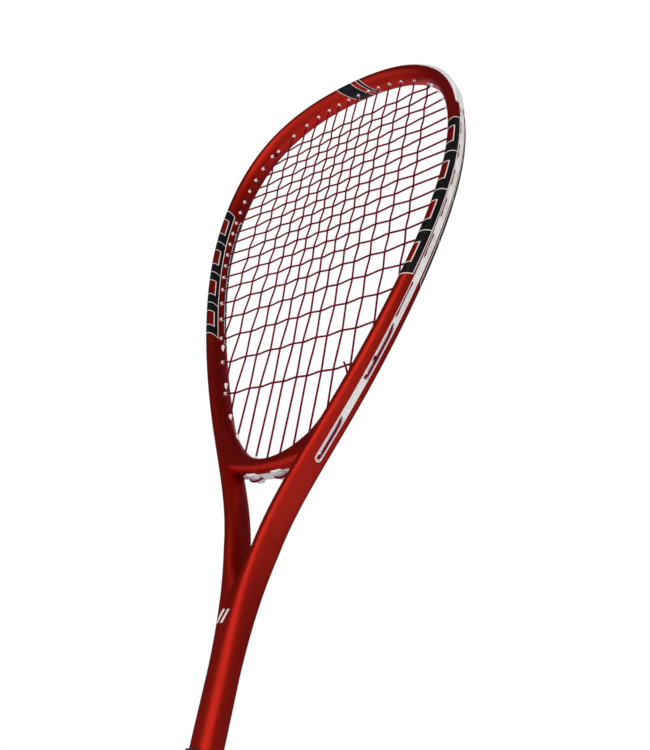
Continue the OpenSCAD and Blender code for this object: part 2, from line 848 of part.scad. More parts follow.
// Tack that pins the start of the wrap to the butt cap.
module wrap_tack() {
    color(steel)
    translate([pallet_w / 2 + 2 * fit_gap, 0, tack_z]) rotate([0, 90, 0]) {
        cylinder(d = tack_d, h = wrap_t - fit_gap, $fn = 24);
        translate([0, 0, wrap_t - fit_gap]) cylinder(d = 2.6, h = 0.35, $fn = 32);
    }
}

// Tape that binds the upper end of the wrap.
tape_t = 0.3;
tape_w = 12;
module finishing_tape() {
    outer = 2 * (fit_gap + tape_t);
    color(grip_black)
    difference() {
        translate([0, 0, wrap_top - tape_w])
            linear_extrude(tape_w) bevelled(grip_w + outer, grip_depth + outer);
        linear_extrude(wrap_top + 1) bevelled(grip_w + 2 * fit_gap, grip_depth + 2 * fit_gap);
    }
}

collar_t = 1.3;
collar_gap = 0.4;
collar_low = wrap_top - 6;
collar_points = 32;
// Squareness of the collar's mouth, which follows the bevels of the handle.
mouth_power = 4;
// Half the width and half the depth inside the collar, at its mouth and at its lip.
collar_mouth = [grip_w, grip_depth] / 2 + (tape_t + collar_gap + 0.3) * [1, 1];
collar_lip = [shaft_w, shaft_depth] / 2 + collar_gap * [1, 1];
// Shares of the collar's length at which it starts to narrow and reaches the lip.
cone_start = 0.24;
cone_end = 0.9;

// A ring of the collar at a share of its height, grown by grow and moved up by shift.
function collar_ring(share, grow, shift) =
    let (
        k = smooth((share - cone_start) / (cone_end - cone_start)),
        half = mix(collar_mouth, collar_lip, k) + grow * [1, 1],
        e = 2 / mix(mouth_power, shaft_power, k)
    )
    [for (i = [0:collar_points - 1])
        let (a = -360 * i / collar_points)
        [
            half[0] * signed_pow(cos(a), e),
            half[1] * signed_pow(sin(a), e),
            collar_low + collar_len * share + shift
        ]];

// Rubber collar over the top of the wrap. It can be pushed up the bare shaft.
module rubber_collar() {
    shares = [0, 0.24, 0.36, 0.48, 0.6, 0.74, 0.9, 1];
    color(grip_black)
    difference() {
        loft([for (s = shares) collar_ring(s, collar_t, 0)]);
        loft([for (s = shares) collar_ring(s, 0, s == 0 ? -0.1 : s == 1 ? 0.1 : 0)]);
    }
}

frame();
bridge();
bumper_guard();
right_grommet_strip();
left_grommet_strip();
bridge_grommet_strip();
main_string();
cross_string();
tie_off_knots();
front_pallet();
back_pallet();
bore_plugs();
butt_cap();
butt_plug();
cap_staples();
grip_wrap();
wrap_tack();
finishing_tape();
rubber_collar();
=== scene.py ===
"""Looks of a squash racket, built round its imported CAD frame.

+Z runs from the butt to the tip, X across the strings and Y through the string bed. Sizes are in
millimetres, as in the CAD source, and become metres where a mesh is made.
"""

import math

import bmesh
import bpy
import numpy as np
from mathutils import Matrix, Vector


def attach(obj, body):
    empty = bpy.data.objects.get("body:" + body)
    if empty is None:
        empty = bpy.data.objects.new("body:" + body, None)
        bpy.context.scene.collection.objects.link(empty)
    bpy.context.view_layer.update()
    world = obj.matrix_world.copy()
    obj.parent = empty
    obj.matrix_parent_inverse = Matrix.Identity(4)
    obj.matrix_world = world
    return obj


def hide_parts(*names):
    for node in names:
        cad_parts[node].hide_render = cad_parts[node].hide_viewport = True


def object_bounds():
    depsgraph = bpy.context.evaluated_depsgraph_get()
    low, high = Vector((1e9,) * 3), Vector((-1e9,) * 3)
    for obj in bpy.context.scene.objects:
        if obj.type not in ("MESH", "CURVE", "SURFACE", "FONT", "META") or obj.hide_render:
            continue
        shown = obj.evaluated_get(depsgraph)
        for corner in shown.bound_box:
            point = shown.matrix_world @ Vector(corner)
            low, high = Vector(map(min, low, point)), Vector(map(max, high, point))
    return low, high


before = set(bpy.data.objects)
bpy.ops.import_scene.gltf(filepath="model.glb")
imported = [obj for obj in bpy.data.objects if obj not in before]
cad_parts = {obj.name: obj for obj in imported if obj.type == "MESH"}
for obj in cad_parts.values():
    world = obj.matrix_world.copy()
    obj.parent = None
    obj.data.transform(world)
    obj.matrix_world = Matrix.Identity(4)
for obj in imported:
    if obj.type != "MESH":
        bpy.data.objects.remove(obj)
cad_low, cad_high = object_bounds()

scene = bpy.context.scene
MM = 0.001

# --- Sizes shared with the CAD source ---

TOTAL_LEN = 685.0
HEAD_W = 211.0
WIDE_DROP = 115.0
THROAT_DROP = 307.0
THROAT_X = 43.3
THROAT_ANGLE = math.radians(26.5)
JOIN_DROP = 434.0
JOIN_X = 5.6
TUBE_W = 9.2
HOOP_DEPTH = 17.5
THROAT_DEPTH = 19.8
SHAFT_W = 15.8
SHAFT_DEPTH = 17.0
GROOVE_W = 6.0
GROOVE_D = 2.6
BRIDGE_TOP = 349.5
BRIDGE_H = 9.5
BRIDGE_DEPTH = 16.4
STRING_D = 1.3
MAINS = 14
CROSSES = 18
MAIN_GAP = 9.3
CROSS_BOTTOM = 406.5
CROSS_GAP = 11.15
CROSS_EXTRA = 16.5
BUMPER_T = 1.6
STRIP_T = 0.7
BARREL_D = 2.9
BARREL_OUT = 1.8
GRIP_W = 30.0
GRIP_DEPTH = 26.0
WRAP_T = 1.8
WRAP_TOP = 160.0
COLLAR_LEN = 38.0

HALF_W = TUBE_W / 2
TIP_Z = TOTAL_LEN - BUMPER_T - HALF_W
WIDE_Z = TIP_Z - WIDE_DROP
THROAT_Z = TIP_Z - THROAT_DROP
JOIN_Z = TIP_Z - JOIN_DROP
MERGE_TOP, MERGE_BOTTOM = 298.0, 226.0
FORK_TOP, FORK_BOTTOM = 290.0, 240.0
CROTCH_FILL = 60.0
CAP_FLOOR = 2.5
OUTER_POWER, INNER_POWER, SHAFT_POWER = 2.5, 2.1, 2.2

TIP = np.array([0, TIP_Z])
WIDE = np.array([HEAD_W / 2 - HALF_W, WIDE_Z])
THROAT = np.array([THROAT_X, THROAT_Z])
JOIN = np.array([JOIN_X, JOIN_Z])
ARM_DIR = np.array([-math.sin(THROAT_ANGLE), -math.cos(THROAT_ANGLE)])
CURVES = [
    (TIP, TIP + [54, 0], WIDE + [0, 90], WIDE),
    (WIDE, WIDE - [0, 64], THROAT - 51 * ARM_DIR, THROAT),
    (THROAT, THROAT + 59 * ARM_DIR, JOIN + [0, 57], JOIN),
]
CURVE_END, SHAFT_START, SHAFT_END = 3, 4, 5


def mix(a, b, share):
    return a + (b - a) * share


def clamp(value, low=0.0, high=1.0):
    return min(high, max(low, value))


def smooth(value):
    c = clamp(value)
    return c * c * (3 - 2 * c)


def signed_pow(value, power):
    return math.copysign(abs(value) ** power, value)


def unit(v):
    return v / np.linalg.norm(v)


def run_along(points):
    """How far each point of a path is from the first, along the path."""
    steps = np.linalg.norm(np.diff(points, axis=0), axis=1)
    return np.concatenate([[0], np.cumsum(steps)])


def bend(corner, back, ahead, steps):
    """Points of a short curve round a corner, from a place behind it to a place ahead of it."""
    start, end = corner + back, corner + ahead
    return [mix(mix(start, corner, s), mix(corner, end, s), s) for s in np.linspace(0, 1, steps)]


def slowing(count):
    """Shares of a length, from above 0 to 1, which lie ever closer together."""
    return np.sin(np.linspace(0, math.pi / 2, count)[1:])


def round_turn(count):
    return np.linspace(0, 2 * math.pi, count, endpoint=False)


def circle(axis, across, count):
    """Points at distance 1 round an axis, from the direction across."""
    turn = round_turn(count)[:, None]
    return np.cos(turn) * across + np.sin(turn) * np.cross(axis, across)


def oval(half, power, count):
    """An outline of two half widths. Power 1 makes an ellipse, and a lower one a squarer shape."""
    return [
        (half[0] * signed_pow(math.cos(a), power), half[1] * signed_pow(math.sin(a), power))
        for a in round_turn(count)
    ]


def bezier(points, s):
    a, b, c, d = points
    r = 1 - s
    return r**3 * a + 3 * r * r * s * b + 3 * r * s * s * c + s**3 * d


def bezier_dir(points, s):
    a, b, c, d = points
    r = 1 - s
    return r * r * (b - a) + 2 * r * s * (c - b) + s * s * (d - c)


# Centre line of the right half, in X and Z: t is 0 at the tip, 1 at the widest point,
# 2 at the throat, 3 where the arm runs straight down, 4 at the shaft and 5 at the butt.
def centre(t):
    if t < CURVE_END:
        return bezier(CURVES[int(t)], t - int(t))
    if t < SHAFT_START:
        return np.array([JOIN_X, mix(JOIN_Z, MERGE_BOTTOM, t - CURVE_END)])
    return np.array([JOIN_X, mix(MERGE_BOTTOM, CAP_FLOOR, t - SHAFT_START)])


def outward(t):
    d = unit(bezier_dir(CURVES[int(t)], t - int(t))) if t < CURVE_END else np.array([0.0, -1.0])
    return np.array([-d[1], d[0]])


def at_wall(t, u):
    """The point that is u outside the centre line, in X and Z."""
    return centre(t) + u * outward(t)


def solve(f, low, high):
    """The t between low and high where f changes sign."""
    start = f(low) > 0
    for _ in range(40):
        middle = (low + high) / 2
        low, high = (middle, high) if (f(middle) > 0) == start else (low, middle)
    return (low + high) / 2


def arc_table(steps_per_curve=200):
    """Stations and the distance of each from the tip along the centre line."""
    t = np.linspace(0, SHAFT_END, SHAFT_END * steps_per_curve + 1)
    return t, run_along(np.array([centre(s) for s in t]))


ARC_T, ARC_S = arc_table()


def arc_at(t):
    return float(np.interp(t, ARC_T, ARC_S))


def station_at(distance):
    return float(np.interp(distance, ARC_S, ARC_T))


def station_at_height(z):
    return solve(lambda t: centre(t)[1] - z, 0.01, SHAFT_END)


def merged(z):
    return smooth((MERGE_TOP - z) / (MERGE_TOP - MERGE_BOTTOM))


def depth_at(z):
    return mix(HOOP_DEPTH, THROAT_DEPTH, smooth((WIDE_Z - z) / (WIDE_Z - THROAT_Z))) / 2


def fill_at(z):
    return CROTCH_FILL * clamp((FORK_TOP - z) / (FORK_TOP - FORK_BOTTOM)) ** 2


# --- Meshes ---

# Each solid is a pair: an array of points and a list of faces.


def loft(rings, closed=False):
    """A solid through rings of equal counts of points. A closed one joins its last ring to its first."""
    rings = np.array(rings, float)
    count, n = rings.shape[:2]
    faces = []
    for i in range(count if closed else count - 1):
        below, above = i * n, (i + 1) % count * n
        for j in range(n):
            k = (j + 1) % n
            faces.append((below + j, below + k, above + k, above + j))
    if not closed:
        faces.append(tuple(range(n - 1, -1, -1)))
        faces.append(tuple(range((count - 1) * n, count * n)))
    return rings.reshape(-1, 3), faces


def joined(solids):
    """Several solids as one list of points and faces."""
    faces, start = [], 0
    for solid_points, solid_faces in solids:
        faces += [tuple(v + start for v in face) for face in solid_faces]
        start += len(solid_points)
    return np.concatenate([points for points, _ in solids]), faces


def mirrored(solid):
    points, faces = solid
    return points * [-1, 1, 1], [face[::-1] for face in faces]


def bare_mesh(name, solid, fields=None):
    """A mesh from a solid in millimetres. fields are named values, one for each point."""
    points, faces = solid
    mesh = bpy.data.meshes.new(name)
    mesh.from_pydata((points * MM).tolist(), [], faces)
    for field, values in (fields or {}).items():
        mesh.attributes.new(field, "FLOAT", "POINT").data.foreach_set("value", values)
    return mesh


def show(name, mesh, material, slot, stands_for=(), body="racket", sharp=38):
    """Puts a mesh in the scene as a piece that rides on a body. Edges over sharp degrees stay hard."""
    mesh.shade_smooth()
    mesh.set_sharp_from_angle(angle=math.radians(sharp))
    mesh.materials.append(material)
    made = bpy.data.objects.new(name, mesh)
    scene.collection.objects.link(made)
    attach(made, body)
    if stands_for:
        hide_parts(*stands_for)


def piece(name, solid, material, slot, stands_for=(), fields=None, **kept):
    """A shown piece from a solid."""
    mesh = bare_mesh(name, solid, fields)
    shell = bmesh.new()
    shell.from_mesh(mesh)
    bmesh.ops.recalc_face_normals(shell, faces=shell.faces)
    shell.to_mesh(mesh)
    shell.free()
    show(name, mesh, material, slot, stands_for, **kept)


# The end of a tube: its share of the radius, and how far past the path it is, as a share of it.
END_DRAWN, END_PAST = 0.7, 0.25


def tube(path, radius, sides=10):
    """A round solid along a path, with softened ends, and how far along and round each point is."""
    path = np.array(path, float)
    ahead = np.gradient(path, axis=0)
    ahead /= np.linalg.norm(ahead, axis=1)[:, None]
    across = np.cross(ahead[0], [0.3, 0.8, 0.5])
    rings = []
    for point, axis in zip(path, ahead):
        across = unit(across - axis * across.dot(axis))
        rings.append(point + radius * circle(axis, across, sides))
    past = END_PAST * radius * ahead
    first = mix(path[0], rings[0], END_DRAWN) - past[0]
    last = mix(path[-1], rings[-1], END_DRAWN) + past[-1]
    far = run_along(path)
    fields = {
        "along": np.repeat([far[0], *far, far[-1]], sides),
        "around": np.tile(round_turn(sides), len(path) + 2),
    }
    return loft([first] + rings + [last]), fields


def rounded(corners, radius, steps):
    """A closed outline with each corner turned into a short curve."""
    corners = np.array(corners, float)
    made = []
    for before, corner, after in zip(np.roll(corners, 1, 0), corners, np.roll(corners, -1, 0)):
        back, ahead = before - corner, after - corner
        reach = min(radius, 0.4 * np.linalg.norm(back), 0.4 * np.linalg.norm(ahead))
        made += bend(corner, reach * unit(back), reach * unit(ahead), steps)
    return made


def level_ring(points, z):
    return np.column_stack([points, np.full(len(points), z)])


# --- Shaders ---


class Term:
    """A value in a node tree. Sums written with it make the nodes that work them out."""

    def __init__(self, nodes, socket):
        self.nodes, self.socket = nodes, socket

    def __add__(self, other):
        return self.nodes.math("ADD", self, other)

    def __sub__(self, other):
        return self.nodes.math("SUBTRACT", self, other)

    def __rsub__(self, other):
        return self.nodes.math("SUBTRACT", other, self)

    def __mul__(self, other):
        return self.nodes.math("MULTIPLY", self, other)

    def __abs__(self):
        return self.nodes.math("ABSOLUTE", self)


class Nodes:
    """A node tree, with shorthand for its nodes."""

    def __init__(self, tree):
        self.tree = tree

    def node(self, kind, sockets, **settings):
        """A node whose sockets are set, or linked where a term is given."""
        made = self.tree.nodes.new("ShaderNode" + kind)
        for name, value in settings.items():
            setattr(made, name, value)
        for key, value in sockets.items():
            self.put(made.inputs[key], value)
        return made

    def put(self, socket, value):
        if isinstance(value, Term):
            self.tree.links.new(value.socket, socket)
        else:
            socket.default_value = value

    def term(self, kind, output=0, sockets=None, **settings):
        """One output of a new node."""
        return Term(self, self.node(kind, sockets or {}, **settings).outputs[output])

    def math(self, operation, *values, clamped=False):
        return self.term("Math", 0, dict(enumerate(values)), operation=operation, use_clamp=clamped)

    def least(self, first, second):
        return self.math("MINIMUM", first, second)

    def most(self, first, second):
        return self.math("MAXIMUM", first, second)

    def span(self, value, low, high, to_low=0.0, to_high=1.0):
        """Value mapped from one range to another, and held at its ends."""
        return self.term("MapRange", 0, dict(enumerate((value, low, high, to_low, to_high))))


class Shader(Nodes):
    """The node tree of one procedural material."""

    def __init__(self, name):
        self.material = bpy.data.materials.new(name)
        self.material.use_nodes = True
        super().__init__(self.material.node_tree)

    def look(self, **values):
        """Sets or links the surface's sockets: Base_Color is the socket Base Color."""
        surface = self.tree.nodes["Principled BSDF"]
        for name, value in values.items():
            self.put(surface.inputs[name.replace("_", " ")], value)
        return self.material

    def field(self, name):
        return self.term("Attribute", "Fac", attribute_name=name)

    def place(self, *scale):
        """The place on the object in metres, times a scale for each axis if there is one."""
        found = self.term("TexCoord", "Object")
        return self.term("VectorMath", 0, {0: found, 1: scale}, operation="MULTIPLY") if scale else found

    def noise(self, scale, detail=3.0, rough=0.55, place=None):
        place = place or self.place()
        sockets = {"Vector": place, "Scale": scale, "Detail": detail, "Roughness": rough}
        return self.term("TexNoise", "Fac", sockets)

    def cells(self, feature, scale):
        """Distances within a pattern of cells."""
        sockets = {"Vector": self.place(), "Scale": scale}
        return self.term("TexVoronoi", "Distance", sockets, feature=feature)

    def colours(self, share, first, second):
        return self.term("Mix", 2, {0: share, 6: first, 7: second}, data_type="RGBA")

    def bump(self, height, distance):
        """distance is the height of the bump in millimetres."""
        return self.term("Bump", 0, {"Height": height, "Distance": distance * MM})


def rgb(red, green, blue):
    return (red, green, blue, 1.0)


# Colours and places of the printed graphics. All but the shaft's bars are on both faces.
RED = rgb(0.50, 0.014, 0.008)
PRINT_BLACK = rgb(0.002, 0.004, 0.005)
PRINT_WHITE = rgb(0.72, 0.70, 0.68)
PANEL_TOP, PANEL_LOW = 584.0, 457.0
PANEL_INNER, PANEL_OUTER = 3.2, 18.8
PANEL_LEAN = 0.5
BLOCKS = 4
WINDOW_LONG, WINDOW_HIGH = 7.0, 3.2
WINDOW_SHIFT = -0.7
LINE = 0.65
INK_EDGE = 0.06
TIP_LEAN = 0.8
# Place of the middle of each band over the tip, and half its width.
TIP_BANDS = [(4.6, 7.0), (17.6, 1.9)]
MARK_X, MARK_Z = -1.3, 255.6
MARK_HALF, MARK_LEAN, MARK_GAP, BAR_HALF = 3.6, 0.45, 1.6, 0.8
# Distance from the tip within which the signed place along the hoop is kept.
TIP_REACH = 120.0


def inked(s, distance):
    """1 where a distance is above zero, with a fine soft edge."""
    return s.span(distance, -INK_EDGE, INK_EDGE)


def side_blocks(s, along, depth):
    """Shares of black and of white in slanted blocks with a red window in each, on both sides."""
    top, low = arc_at(station_at_height(PANEL_TOP)), arc_at(station_at_height(PANEL_LOW))
    pitch = (low - top) / BLOCKS
    level = depth - (PANEL_INNER + PANEL_OUTER) / 2
    run = along + level * PANEL_LEAN
    off_ends = (low - top) / 2 - abs(run - (low + top) / 2)
    off_edges = (PANEL_OUTER - PANEL_INNER) / 2 - abs(level)
    panel = s.least(off_ends * math.cos(math.atan(PANEL_LEAN)), off_edges)
    off = abs(s.math("FRACT", s.math("DIVIDE", run - top, pitch)) - 0.5) * pitch
    window = s.least(WINDOW_LONG - off, WINDOW_HIGH - abs(level - WINDOW_SHIFT))
    gap = off - (pitch - LINE) / 2
    inside = inked(s, panel - LINE)
    black = inside * (1.0 - s.most(inked(s, window + LINE), inked(s, gap)))
    red = inside * inked(s, window)
    return black, s.math("SUBTRACT", inked(s, panel) - black, red, clamped=True)


def shaft_mark(s):
    """Two short slanted bars low on the front of the left arm, which stand for its small mark."""
    split = s.node("SeparateXYZ", {0: s.place(1 / MM, 1 / MM, 1 / MM)})
    x, y, z = (Term(s, socket) for socket in split.outputs)
    rise = z - MARK_Z
    inside = s.least(MARK_HALF - abs(rise), y * -1.0)
    off = abs(x - rise * MARK_LEAN - MARK_X)
    return inked(s, s.least(BAR_HALF - abs(MARK_GAP - off), inside))


def print_masks(s, along, tip, around):
    """Shares of black and of white ink on the frame."""
    depth = abs(around)
    black, white = side_blocks(s, along, depth)
    # Parallel bands across the tip.
    lean = tip - around * TIP_LEAN
    near_tip = TIP_REACH / 2 - along
    for place, half in TIP_BANDS:
        band = s.least(s.least(half - abs(lean - place), near_tip), PANEL_OUTER - depth)
        core = inked(s, band - LINE)
        black = s.most(black, core)
        white = s.most(white, inked(s, band) - core)
    return black, s.most(white, shaft_mark(s))


def lacquer():
    """Satin candy-red lacquer over fine metal flake, with the printed graphics and light wear."""
    s = Shader("lacquer")
    along, tip, around = (s.field(name) for name in ("along", "tip", "around"))
    black, white = print_masks(s, along, tip, around)
    ink = s.math("ADD", black, white, clamped=True)
    cloud = s.noise(9.0, detail=2.0)
    flake = s.noise(2600.0, detail=1.0)
    paint = s.colours(s.span(cloud, 0.3, 0.7), RED, rgb(0.43, 0.007, 0.008))
    paint = s.colours(s.span(flake, 0.35, 0.75, 0.0, 0.35), paint, rgb(0.78, 0.055, 0.012))
    printed = s.colours(black, s.colours(white, paint, PRINT_WHITE), PRINT_BLACK)
    # Wear along the outer edges of the hoop, near its tip.
    scuffs = s.noise(1.0, detail=4.0, rough=0.7, place=s.place(60.0, 60.0, 420.0))
    edge = s.span(abs(around), 17.2, 19.0) * s.span(along, 150.0, 60.0)
    worn = s.math("MULTIPLY", edge, s.span(scuffs, 0.58, 0.70), clamped=True)
    smear = s.noise(38.0, detail=5.0, rough=0.65)
    peel = s.noise(900.0, detail=2.0)
    return s.look(
        Base_Color=s.colours(worn * 0.35, printed, rgb(0.30, 0.12, 0.11)),
        Metallic=1.0 - ink,
        Roughness=s.span(smear, 0.3, 0.7, 0.41, 0.49) + worn * 0.25,
        Specular_Tint=rgb(0.80, 0.50, 0.55),
        Specular_IOR_Level=0.25,
        Coat_Weight=0.12,
        Coat_Roughness=0.32,
        Normal=s.bump(peel + ink * 3.0, 0.01),
    )


def clear_nylon():
    """Clear moulded nylon, a little frosted and milky where it is thick."""
    s = Shader("clear_nylon")
    cloud = s.noise(160.0)
    grain = s.noise(900.0, detail=2.0)
    return s.look(
        Base_Color=s.colours(cloud, rgb(0.97, 0.97, 0.98), rgb(0.93, 0.93, 0.95)),
        Roughness=s.span(grain, 0.3, 0.7, 0.20, 0.34),
        IOR=1.49,
        Transmission_Weight=0.12,
        Coat_Weight=0.5,
        Coat_Roughness=0.08,
        Normal=s.bump(grain, 0.0015),
    )


def string_finish():
    """Multifilament string: strands twisted into one bundle, with a soft sheen, and painted shade that
    darkens the grooves between the strands.
    """
    s = Shader("string")
    # Four strands, with 3.2 radians of twist to a millimetre.
    strands = s.math("SINE", (s.field("along") * 3.2 + s.field("around")) * 4.0)
    fuzz = s.noise(420.0)
    # Painted shade: the colour is darker in the grooves between the strands, where the bump sinks.
    groove_shaded = s.colours(s.span(strands, -1.0, 1.0), rgb(0.150, 0.0003, 0.014), rgb(0.200, 0.0005, 0.020))
    return s.look(
        Base_Color=s.colours(s.span(fuzz, 0.5, 0.75, 0.0, 0.5), groove_shaded, rgb(0.26, 0.001, 0.03)),
        Roughness=s.span(fuzz, 0.3, 0.7, 0.34, 0.52),
        Specular_IOR_Level=0.15,
        Specular_Tint=rgb(0.9, 0.1, 0.2),
        Normal=s.bump(strands, 0.004),
    )


def grip_finish():
    """Tacky black polyurethane with fine pores and faint dusty wear."""
    s = Shader("grip")
    leather = s.span(s.cells("DISTANCE_TO_EDGE", 950.0), 0.0, 0.12)
    dust = s.noise(45.0, detail=6.0, rough=0.7)
    dusty = s.span(dust, 0.45, 0.75, 0.0, 0.6)
    fine = s.noise(2200.0, detail=2.0)
    return s.look(
        Base_Color=s.colours(dusty, rgb(0.016, 0.016, 0.018), rgb(0.050, 0.048, 0.047)),
        Roughness=s.span(dust, 0.3, 0.7, 0.50, 0.72),
        Sheen_Weight=0.15,
        Sheen_Roughness=0.5,
        Normal=s.bump(leather + fine * 0.4, 0.06),
    )


def moulded(name, low, high, rough, grain_scale=1400.0, height=0.03):
    """Moulded plastic or rubber with a spark-eroded grain and slight rubbing marks."""
    s = Shader(name)
    grain = s.noise(grain_scale, detail=4.0)
    rubbed = s.noise(70.0, detail=5.0, rough=0.7)
    return s.look(
        Base_Color=s.colours(s.span(rubbed, 0.35, 0.75), rgb(*low), rgb(*high)),
        Roughness=s.span(rubbed, 0.3, 0.7, rough, rough + 0.16),
        Normal=s.bump(grain, height),
    )


def foam():
    """Moulded polyurethane foam with open bubbles, each darkened towards its middle with painted shade.
    """
    s = Shader("foam")
    cell = s.cells("SMOOTH_F1", 900.0)
    stain = s.noise(30.0, detail=4.0)
    colour = s.colours(s.span(stain, 0.35, 0.7), rgb(0.62, 0.50, 0.31), rgb(0.50, 0.38, 0.21))
    return s.look(
        # Painted shade: each bubble is darker towards its middle, where the bump sinks deepest.
        Base_Color=s.colours(s.span(cell, 0.0, 0.35, 0.5, 0.0), colour, rgb(0.30, 0.22, 0.12)),
        Roughness=s.span(stain, 0.3, 0.7, 0.75, 0.92),
        Normal=s.bump(cell, 0.12),
    )


def steel():
    """Drawn steel wire and a pressed tack head, with fine scratches."""
    s = Shader("steel")
    scratches = s.noise(1.0, detail=4.0, place=s.place(300.0, 2400.0, 300.0))
    tarnish = s.noise(220.0, detail=4.0)
    return s.look(
        Base_Color=s.colours(s.span(tarnish, 0.4, 0.7), rgb(0.62, 0.62, 0.63), rgb(0.45, 0.43, 0.41)),
        Metallic=1.0,
        Roughness=s.span(scratches, 0.3, 0.7, 0.22, 0.45),
        Normal=s.bump(scratches, 0.01),
    )


LACQUER = lacquer()
NYLON = clear_nylon()
STRING = string_finish()
GRIP = grip_finish()
CAP = moulded("cap_plastic", (0.014, 0.014, 0.015), (0.030, 0.030, 0.031), 0.36)
PLUG = moulded("plug_plastic", (0.16, 0.006, 0.010), (0.22, 0.012, 0.016), 0.34)
TAPE = moulded("tape", (0.010, 0.010, 0.011), (0.026, 0.026, 0.027), 0.40, 600.0, 0.05)
RUBBER = moulded("rubber", (0.012, 0.012, 0.013), (0.032, 0.031, 0.030), 0.52, 900.0, 0.05)
FOAM = foam()
STEEL = steel()

# --- Frame skin ---

GROOVE_LOW = 345.0
GROOVE_END = station_at_height(GROOVE_LOW)
LIP_ROUND = 0.3
# The channel's section from its lip to its floor: share of the plain surface, depth, half width.
CHANNEL = [
    (0.85, 0.13, GROOVE_W / 2 + 0.12),
    (0.70, 0.36, GROOVE_W / 2),
    (0.45, GROOVE_D - 0.35, GROOVE_W * 0.476),
    (0.20, GROOVE_D, GROOVE_W * 0.41),
]
END_RADIUS = 3.2
END_WALL = 0.7
SKIN_SIDES = 64
FORK_MARGIN = 8.0
# Nearness, in metres, at which points count as lying on the plane between the halves.
TINY = 1e-6


def surface_point(t, angle):
    """A point of the tube's surface, at an angle in radians from its outer side."""
    c, n = centre(t), outward(t)
    m = merged(c[1])
    across, up = math.cos(angle), math.sin(angle)
    outer = across > 0
    power = 2 / (mix(OUTER_POWER, SHAFT_POWER, m) if outer else INNER_POWER)
    reach = HALF_W if outer else HALF_W + fill_at(c[1])
    u = reach * signed_pow(across, power)
    shaft_x = SHAFT_W / 2 * across**power if outer else 0.0
    return np.array([
        mix(c[0] + u * n[0], shaft_x, m),
        signed_pow(up, power) * mix(depth_at(c[1]), SHAFT_DEPTH / 2, m),
        c[1] + u * n[1] * (1 - m),
    ])


def lip_angle(t):
    """The angle at which the section is as wide as the rounded lips of the channel."""
    z = centre(t)[1]
    m = merged(z)
    half = mix(depth_at(z), SHAFT_DEPTH / 2, m)
    return math.asin(((GROOVE_W / 2 + LIP_ROUND) / half) ** (mix(OUTER_POWER, SHAFT_POWER, m) / 2))


def channel_share(t, y):
    """1 where the channel is full depth and 0 past its rounded end."""
    back = END_RADIUS - math.sqrt(END_RADIUS**2 - min(y, END_RADIUS) ** 2)
    return smooth((arc_at(GROOVE_END) - back - arc_at(t)) / END_WALL)


def channel_point(t, side, step):
    share, depth, half = CHANNEL[step]
    plain = surface_point(t, side * share * lip_angle(t))
    deep = at_wall(t, HALF_W - depth)
    return mix(plain, np.array([deep[0], side * half, deep[1]]), channel_share(t, half))


def skin_ring(t):
    """One ring of the skin, and how far each point is round from the middle of the inner side."""
    edge = lip_angle(t)
    angles = np.linspace(edge, 2 * math.pi - edge, SKIN_SIDES + 1)
    outside = [surface_point(t, a) for a in angles]
    down = [channel_point(t, -1, k) for k in range(len(CHANNEL))]
    up = [channel_point(t, 1, k) for k in reversed(range(len(CHANNEL)))]
    distance = run_along(outside)
    around = distance[SKIN_SIDES // 2] - distance
    channel = np.full(len(CHANNEL), around[0] + 1.0)
    return outside + down + up, np.concatenate([around, -channel, channel])


def spaced(start, end, step):
    """Stations from start to end, about step apart along the centre line."""
    low, high = arc_at(start), arc_at(end)
    count = max(2, math.ceil((high - low) / step) + 1)
    return [station_at(s) for s in np.linspace(low, high, count)]


def skin_stations():
    """Stations of the skin's rings, which are closest where its shape changes fastest."""
    near = station_at(arc_at(GROOVE_END) - END_RADIUS - END_WALL)
    fork = station_at_height(FORK_TOP + FORK_MARGIN)
    crotch = station_at_height(FORK_BOTTOM - FORK_MARGIN)
    stations = [0]
    for end, step in (
        (near, 2.2), (GROOVE_END, 0.3), (fork, 2.2), (crotch, 0.8), (SHAFT_START, 2.5), (SHAFT_END, 9.0),
    ):
        stations += spaced(stations[-1], end, step)[1:]
    return stations


def on_plane(v):
    return abs(v.co.x) < 2 * TINY


def frame_skin():
    """The hoop, arms and shaft as one closed skin, welded along the plane between its halves."""
    stations = skin_stations()
    rings, around = zip(*[skin_ring(t) for t in stations])
    along = np.repeat([arc_at(t) for t in stations], len(rings[0]))
    fields = {"along": along, "tip": np.minimum(along, TIP_REACH), "around": np.concatenate(around)}
    mesh = bare_mesh("frame_skin", loft(rings), fields)
    half = bmesh.new()
    half.from_mesh(mesh)
    bmesh.ops.bisect_plane(
        half, geom=half.verts[:] + half.edges[:] + half.faces[:],
        plane_co=(0, 0, 0), plane_no=(1, 0, 0), dist=TINY, clear_inner=True)
    # A cut face can touch the plane along three points, which leaves a flat triangle to take away.
    touching = [f for f in half.faces if sum(on_plane(v) for v in f.verts) > 2]
    bmesh.ops.triangulate(half, faces=touching)
    flat = [f for f in half.faces if all(on_plane(v) for v in f.verts)]
    bmesh.ops.delete(half, geom=flat, context="FACES")
    for v in half.verts:
        if on_plane(v):
            v.co.x = 0
    other = half.copy()
    tip = other.verts.layers.float["tip"]
    for v in other.verts:
        v.co.x = -v.co.x
        v[tip] *= -1
    bmesh.ops.reverse_faces(other, faces=other.faces)
    other.to_mesh(mesh)
    half.from_mesh(mesh)
    other.free()
    bmesh.ops.remove_doubles(half, verts=[v for v in half.verts if v.co.x == 0], dist=5 * TINY)
    loose = [v for v in half.verts if not v.link_faces]
    bmesh.ops.delete(half, geom=loose, context="VERTS")
    bmesh.ops.recalc_face_normals(half, faces=half.faces)
    half.to_mesh(mesh)
    half.free()
    show("frame_skin", mesh, LACQUER, "lacquer", ["frame"], sharp=40)


frame_skin()

# --- Layout of the strings ---

